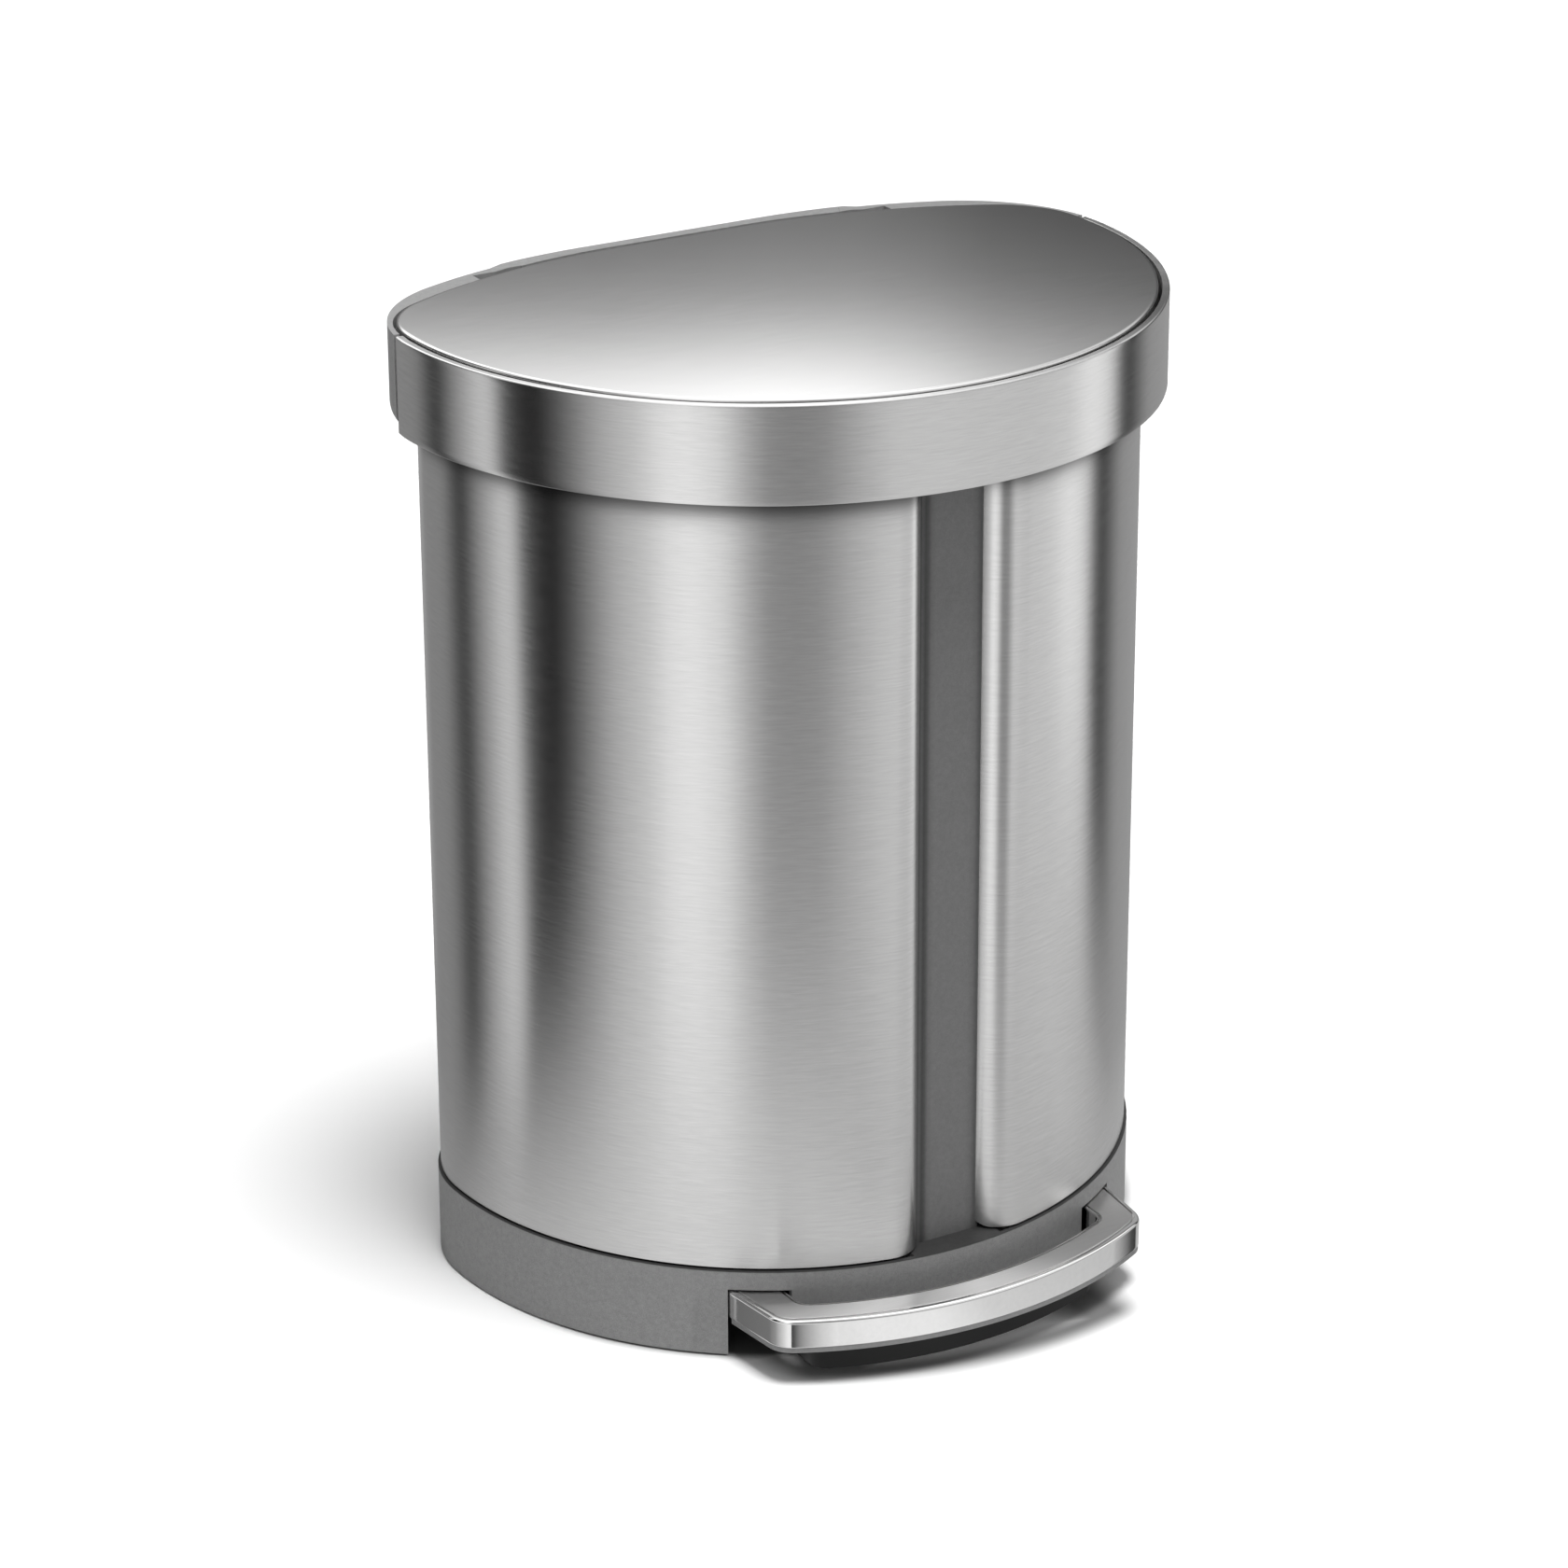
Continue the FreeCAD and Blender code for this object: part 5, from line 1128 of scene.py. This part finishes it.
    def _world(self) -> None:
        """Make the world: white to the camera, cards to polished faces, a soft sky to all others."""
        world = bpy.data.worlds.new("studio")
        bpy.context.scene.world = world
        tree = ShaderTree(world)
        parts = tree.parts(tree.place("Generated"))
        azimuth = tree.maths("ARCTAN2", parts["X"], -parts["Y"]) * DEGREES
        height = tree.maths("ARCSINE", parts["Z"]) * DEGREES
        ring = tree.around(azimuth, [(at, linear(level)) for at, level in self.cards])
        shares = [(at, part) for at, part, _ in self.rise]
        boxes = [(at, box) for at, _, box in self.rise]
        share, above, low_sky = (tree.graded(height, run, -HALF_TURN / 2, HALF_TURN / 2)
                                 for run in (shares, boxes, self.sky))
        turn = math.radians(self.sky_azimuth)
        lean = 1.0 + self.sky_lean * (parts["X"] * math.sin(turn) - parts["Y"] * math.cos(turn))
        path = tree.node("ShaderNodeLightPath")
        cards = tree.sky(ring * share + above, self.gain)
        lit = tree.mix_shaders(path["Is Glossy Ray"], tree.sky(low_sky * lean, self.ambient), cards)
        tree.surface(tree.mix_shaders(path["Is Camera Ray"], lit, tree.sky(WHITE)), "ShaderNodeOutputWorld")

    def _floor(self) -> None:
        """Make the floor: white to the camera but for cast shadows and a painted contact shade, bright to
        polished faces near the bin.
        """
        count = self.floor_sides
        turns = [2 * math.pi * k / count for k in range(count)]
        rim = [Vector((math.cos(t), math.sin(t), 0.0)) * self.floor_radius for t in turns]
        points = [Vector((0.0, 0.0, 0.0)), *rim]
        faces = [[0, k + 1, (k + 1) % count + 1] for k in range(count)]
        material = bpy.data.materials.new("floor")
        tree = ShaderTree(material)
        parts = tree.parts(tree.place("Object"))
        across, along = parts["X"], parts["Y"] - self.centre_y
        away = tree.maths("SQRT", across * across + along * along)
        shade, foot = self._contact(tree, across, along, away)
        tone = tree.mix_colours(shade, opaque((0.0,) * 3), opaque((self.floor_seen,) * 3))
        path = tree.node("ShaderNodeLightPath")
        lit = tree.mix_shaders(path["Is Camera Ray"], tree.paint(opaque(grey(self.floor_level))),
                               tree.paint(tone))
        azimuth = tree.maths("ARCTAN2", across, -along) * DEGREES
        runs = (self.glow_pedal, self.glow_body, self.glow_reach)
        pedal, body, reach = (tree.around(azimuth, run) for run in runs)
        outside = tree.rise(away, *self.pedal_zone)
        near = 1.0 - tree.rise(away, self.glow_near, reach)
        # the painted contact shade also darkens the floor's glow in reflections where the bin's foot stands
        bright = tree.glow((pedal + (body - pedal) * outside) * (1.0 - foot))
        reflected = tree.mix_shaders(near, tree.node("ShaderNodeBsdfTransparent")["BSDF"], bright)
        tree.surface(tree.mix_shaders(path["Is Glossy Ray"], lit, reflected))
        new_piece("floor", points, faces, material)

    def _contact(self, tree: ShaderTree, across: Signal, along: Signal,
                 away: Signal) -> tuple[Signal, Signal]:
        """Paint the contact shade in front of the bin and round the pedal's foot.

        Args:
            tree: The floor's shader tree.
            across: Place across the floor.
            along: Place along it, from the plan's centre.
            away: Distance from that centre.

        Returns:
            The share of light that is left, and how much the bin's foot covers the place.
        """
        shifted = across - self.toe_centre
        span = tree.maths("SQRT", shifted * shifted + along * along)
        ahead = 1.0 - tree.rise(along, *self.toe_ahead)
        foot = 1.0 - tree.rise(away, *self.contact)
        beside = tree.rise(tree.maths("ABSOLUTE", across), *self.toe_fill)
        inner = tree.maths("MAXIMUM", beside, tree.rise(span, *self.toe_inner))
        ring = inner * (1.0 - tree.rise(span, *self.toe_outer))
        sides = tree.rise(across, *self.toe_left) * (1.0 - tree.rise(across, *self.toe_right))
        toe = ring * sides * self.toe_shade
        return 1.0 - tree.maths("MAXIMUM", foot * self.contact_shade, toe) * ahead, foot

    def _key(self) -> None:
        """Make the soft key lamp, high in front of the bin."""
        lamp = bpy.data.lights.new("key", "SUN")
        lamp.energy = self.key_strength
        lamp.angle = math.radians(self.key_spread)
        key = bpy.data.objects.new("key", lamp)
        around, high = math.radians(self.key_azimuth), math.radians(self.key_elevation)
        flat = math.cos(high)
        towards = Vector((math.sin(around) * flat, -math.cos(around) * flat, math.sin(high)))
        key.matrix_world = towards.to_track_quat("Z", "Y").to_matrix().to_4x4()
        key.visible_glossy = False
        bpy.context.scene.collection.objects.link(key)

    def _lid_card(self) -> None:
        """Make the graded reflector that stands behind the lid and shows only in polished faces."""
        forward = Vector((*self.card_facing, 0.0)).normalized()
        right = Vector((forward.y, -forward.x, 0.0))
        centre = Vector((0.0, self.centre_y, 0.0)) + forward * self.card_away
        half = self.card_half
        foot, top = self.card_heights
        points = [centre + right * u + Vector((0.0, 0.0, z)) for u, z in
                  ((-half, foot), (half, foot), (half, top), (-half, top))]
        material = bpy.data.materials.new("lid_card")
        tree = ShaderTree(material)
        parts = tree.parts(tree.place("Object"))
        side = (parts["X"] - centre.x) * right.x + (parts["Y"] - centre.y) * right.y
        height = parts["Z"] - self.lid_top
        tone = (tree.graded(height, self.lid_rise, 0.0, self.lid_range)
                * tree.graded(side, self.lid_side, -self.card_range, self.card_range))
        tree.surface(tree.glow(tone, self.lid_gain))
        self._reflector("lid_card", points, [[0, 1, 2, 3]], material)

    def _fences(self) -> None:
        """Make the low toned fences that show in the polished skirt at the ends of the pedal."""
        material = bpy.data.materials.new("fence")
        tree = ShaderTree(material)
        tone = tree.node("ShaderNodeAttribute", {"attribute_name": "tone"})["Color"]
        tree.surface(tree.glow(tone))
        for name, posts in self.fences:
            points = [Vector((x, y, z)) for x, y, _ in posts for z in (self.fence_foot, self.fence_top)]
            faces = [[2 * k, 2 * k + 2, 2 * k + 3, 2 * k + 1] for k in range(len(posts) - 1)]
            fence = self._reflector(name, points, faces, material)
            tones = fence.data.color_attributes.new(name="tone", type="FLOAT_COLOR", domain="POINT")
            for k, (_, _, level) in enumerate(posts):
                for corner in (2 * k, 2 * k + 1):
                    tones.data[corner].color = opaque((level,) * 3)

    @staticmethod
    def _reflector(name: str, points: Sequence[Vector], faces: Sequence[Sequence[int]],
                   material: bpy.types.Material) -> bpy.types.Object:
        """Put a card on the stage that shows only in polished faces.

        Args:
            name: Name of the card.
            points: Its corners.
            faces: Its faces.
            material: Its tone.

        Returns:
            The card.
        """
        card = new_piece(name, points, faces, material)
        for ray in ("camera", "diffuse", "shadow", "transmission"):
            setattr(card, f"visible_{ray}", False)
        return card


# ---------------------------------------------------------------- build

def slots_of(record: Mapping[str, Any]) -> dict[str, str]:
    """Read the material slot of each node."""
    return {part["node"]: part["material_slot"] for part in record["subparts"]}


def main() -> None:
    """Load the frame, dress it and set the studio round it."""
    logging.basicConfig(level=logging.INFO, format="%(message)s")
    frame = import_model()
    scene = bpy.context.scene
    scene.view_settings.view_transform = "Standard"
    wardrobe = Wardrobe()
    plan = Plan()
    Carried(wardrobe, frame["nodes"], slots_of(frame["record"])).build()
    for kind in (RimBand, Lid, BodySheets, Pedal):
        kind(wardrobe, plan).build()
    Camera().build()
    Studio().build()


if __name__ == "__main__":
    main()
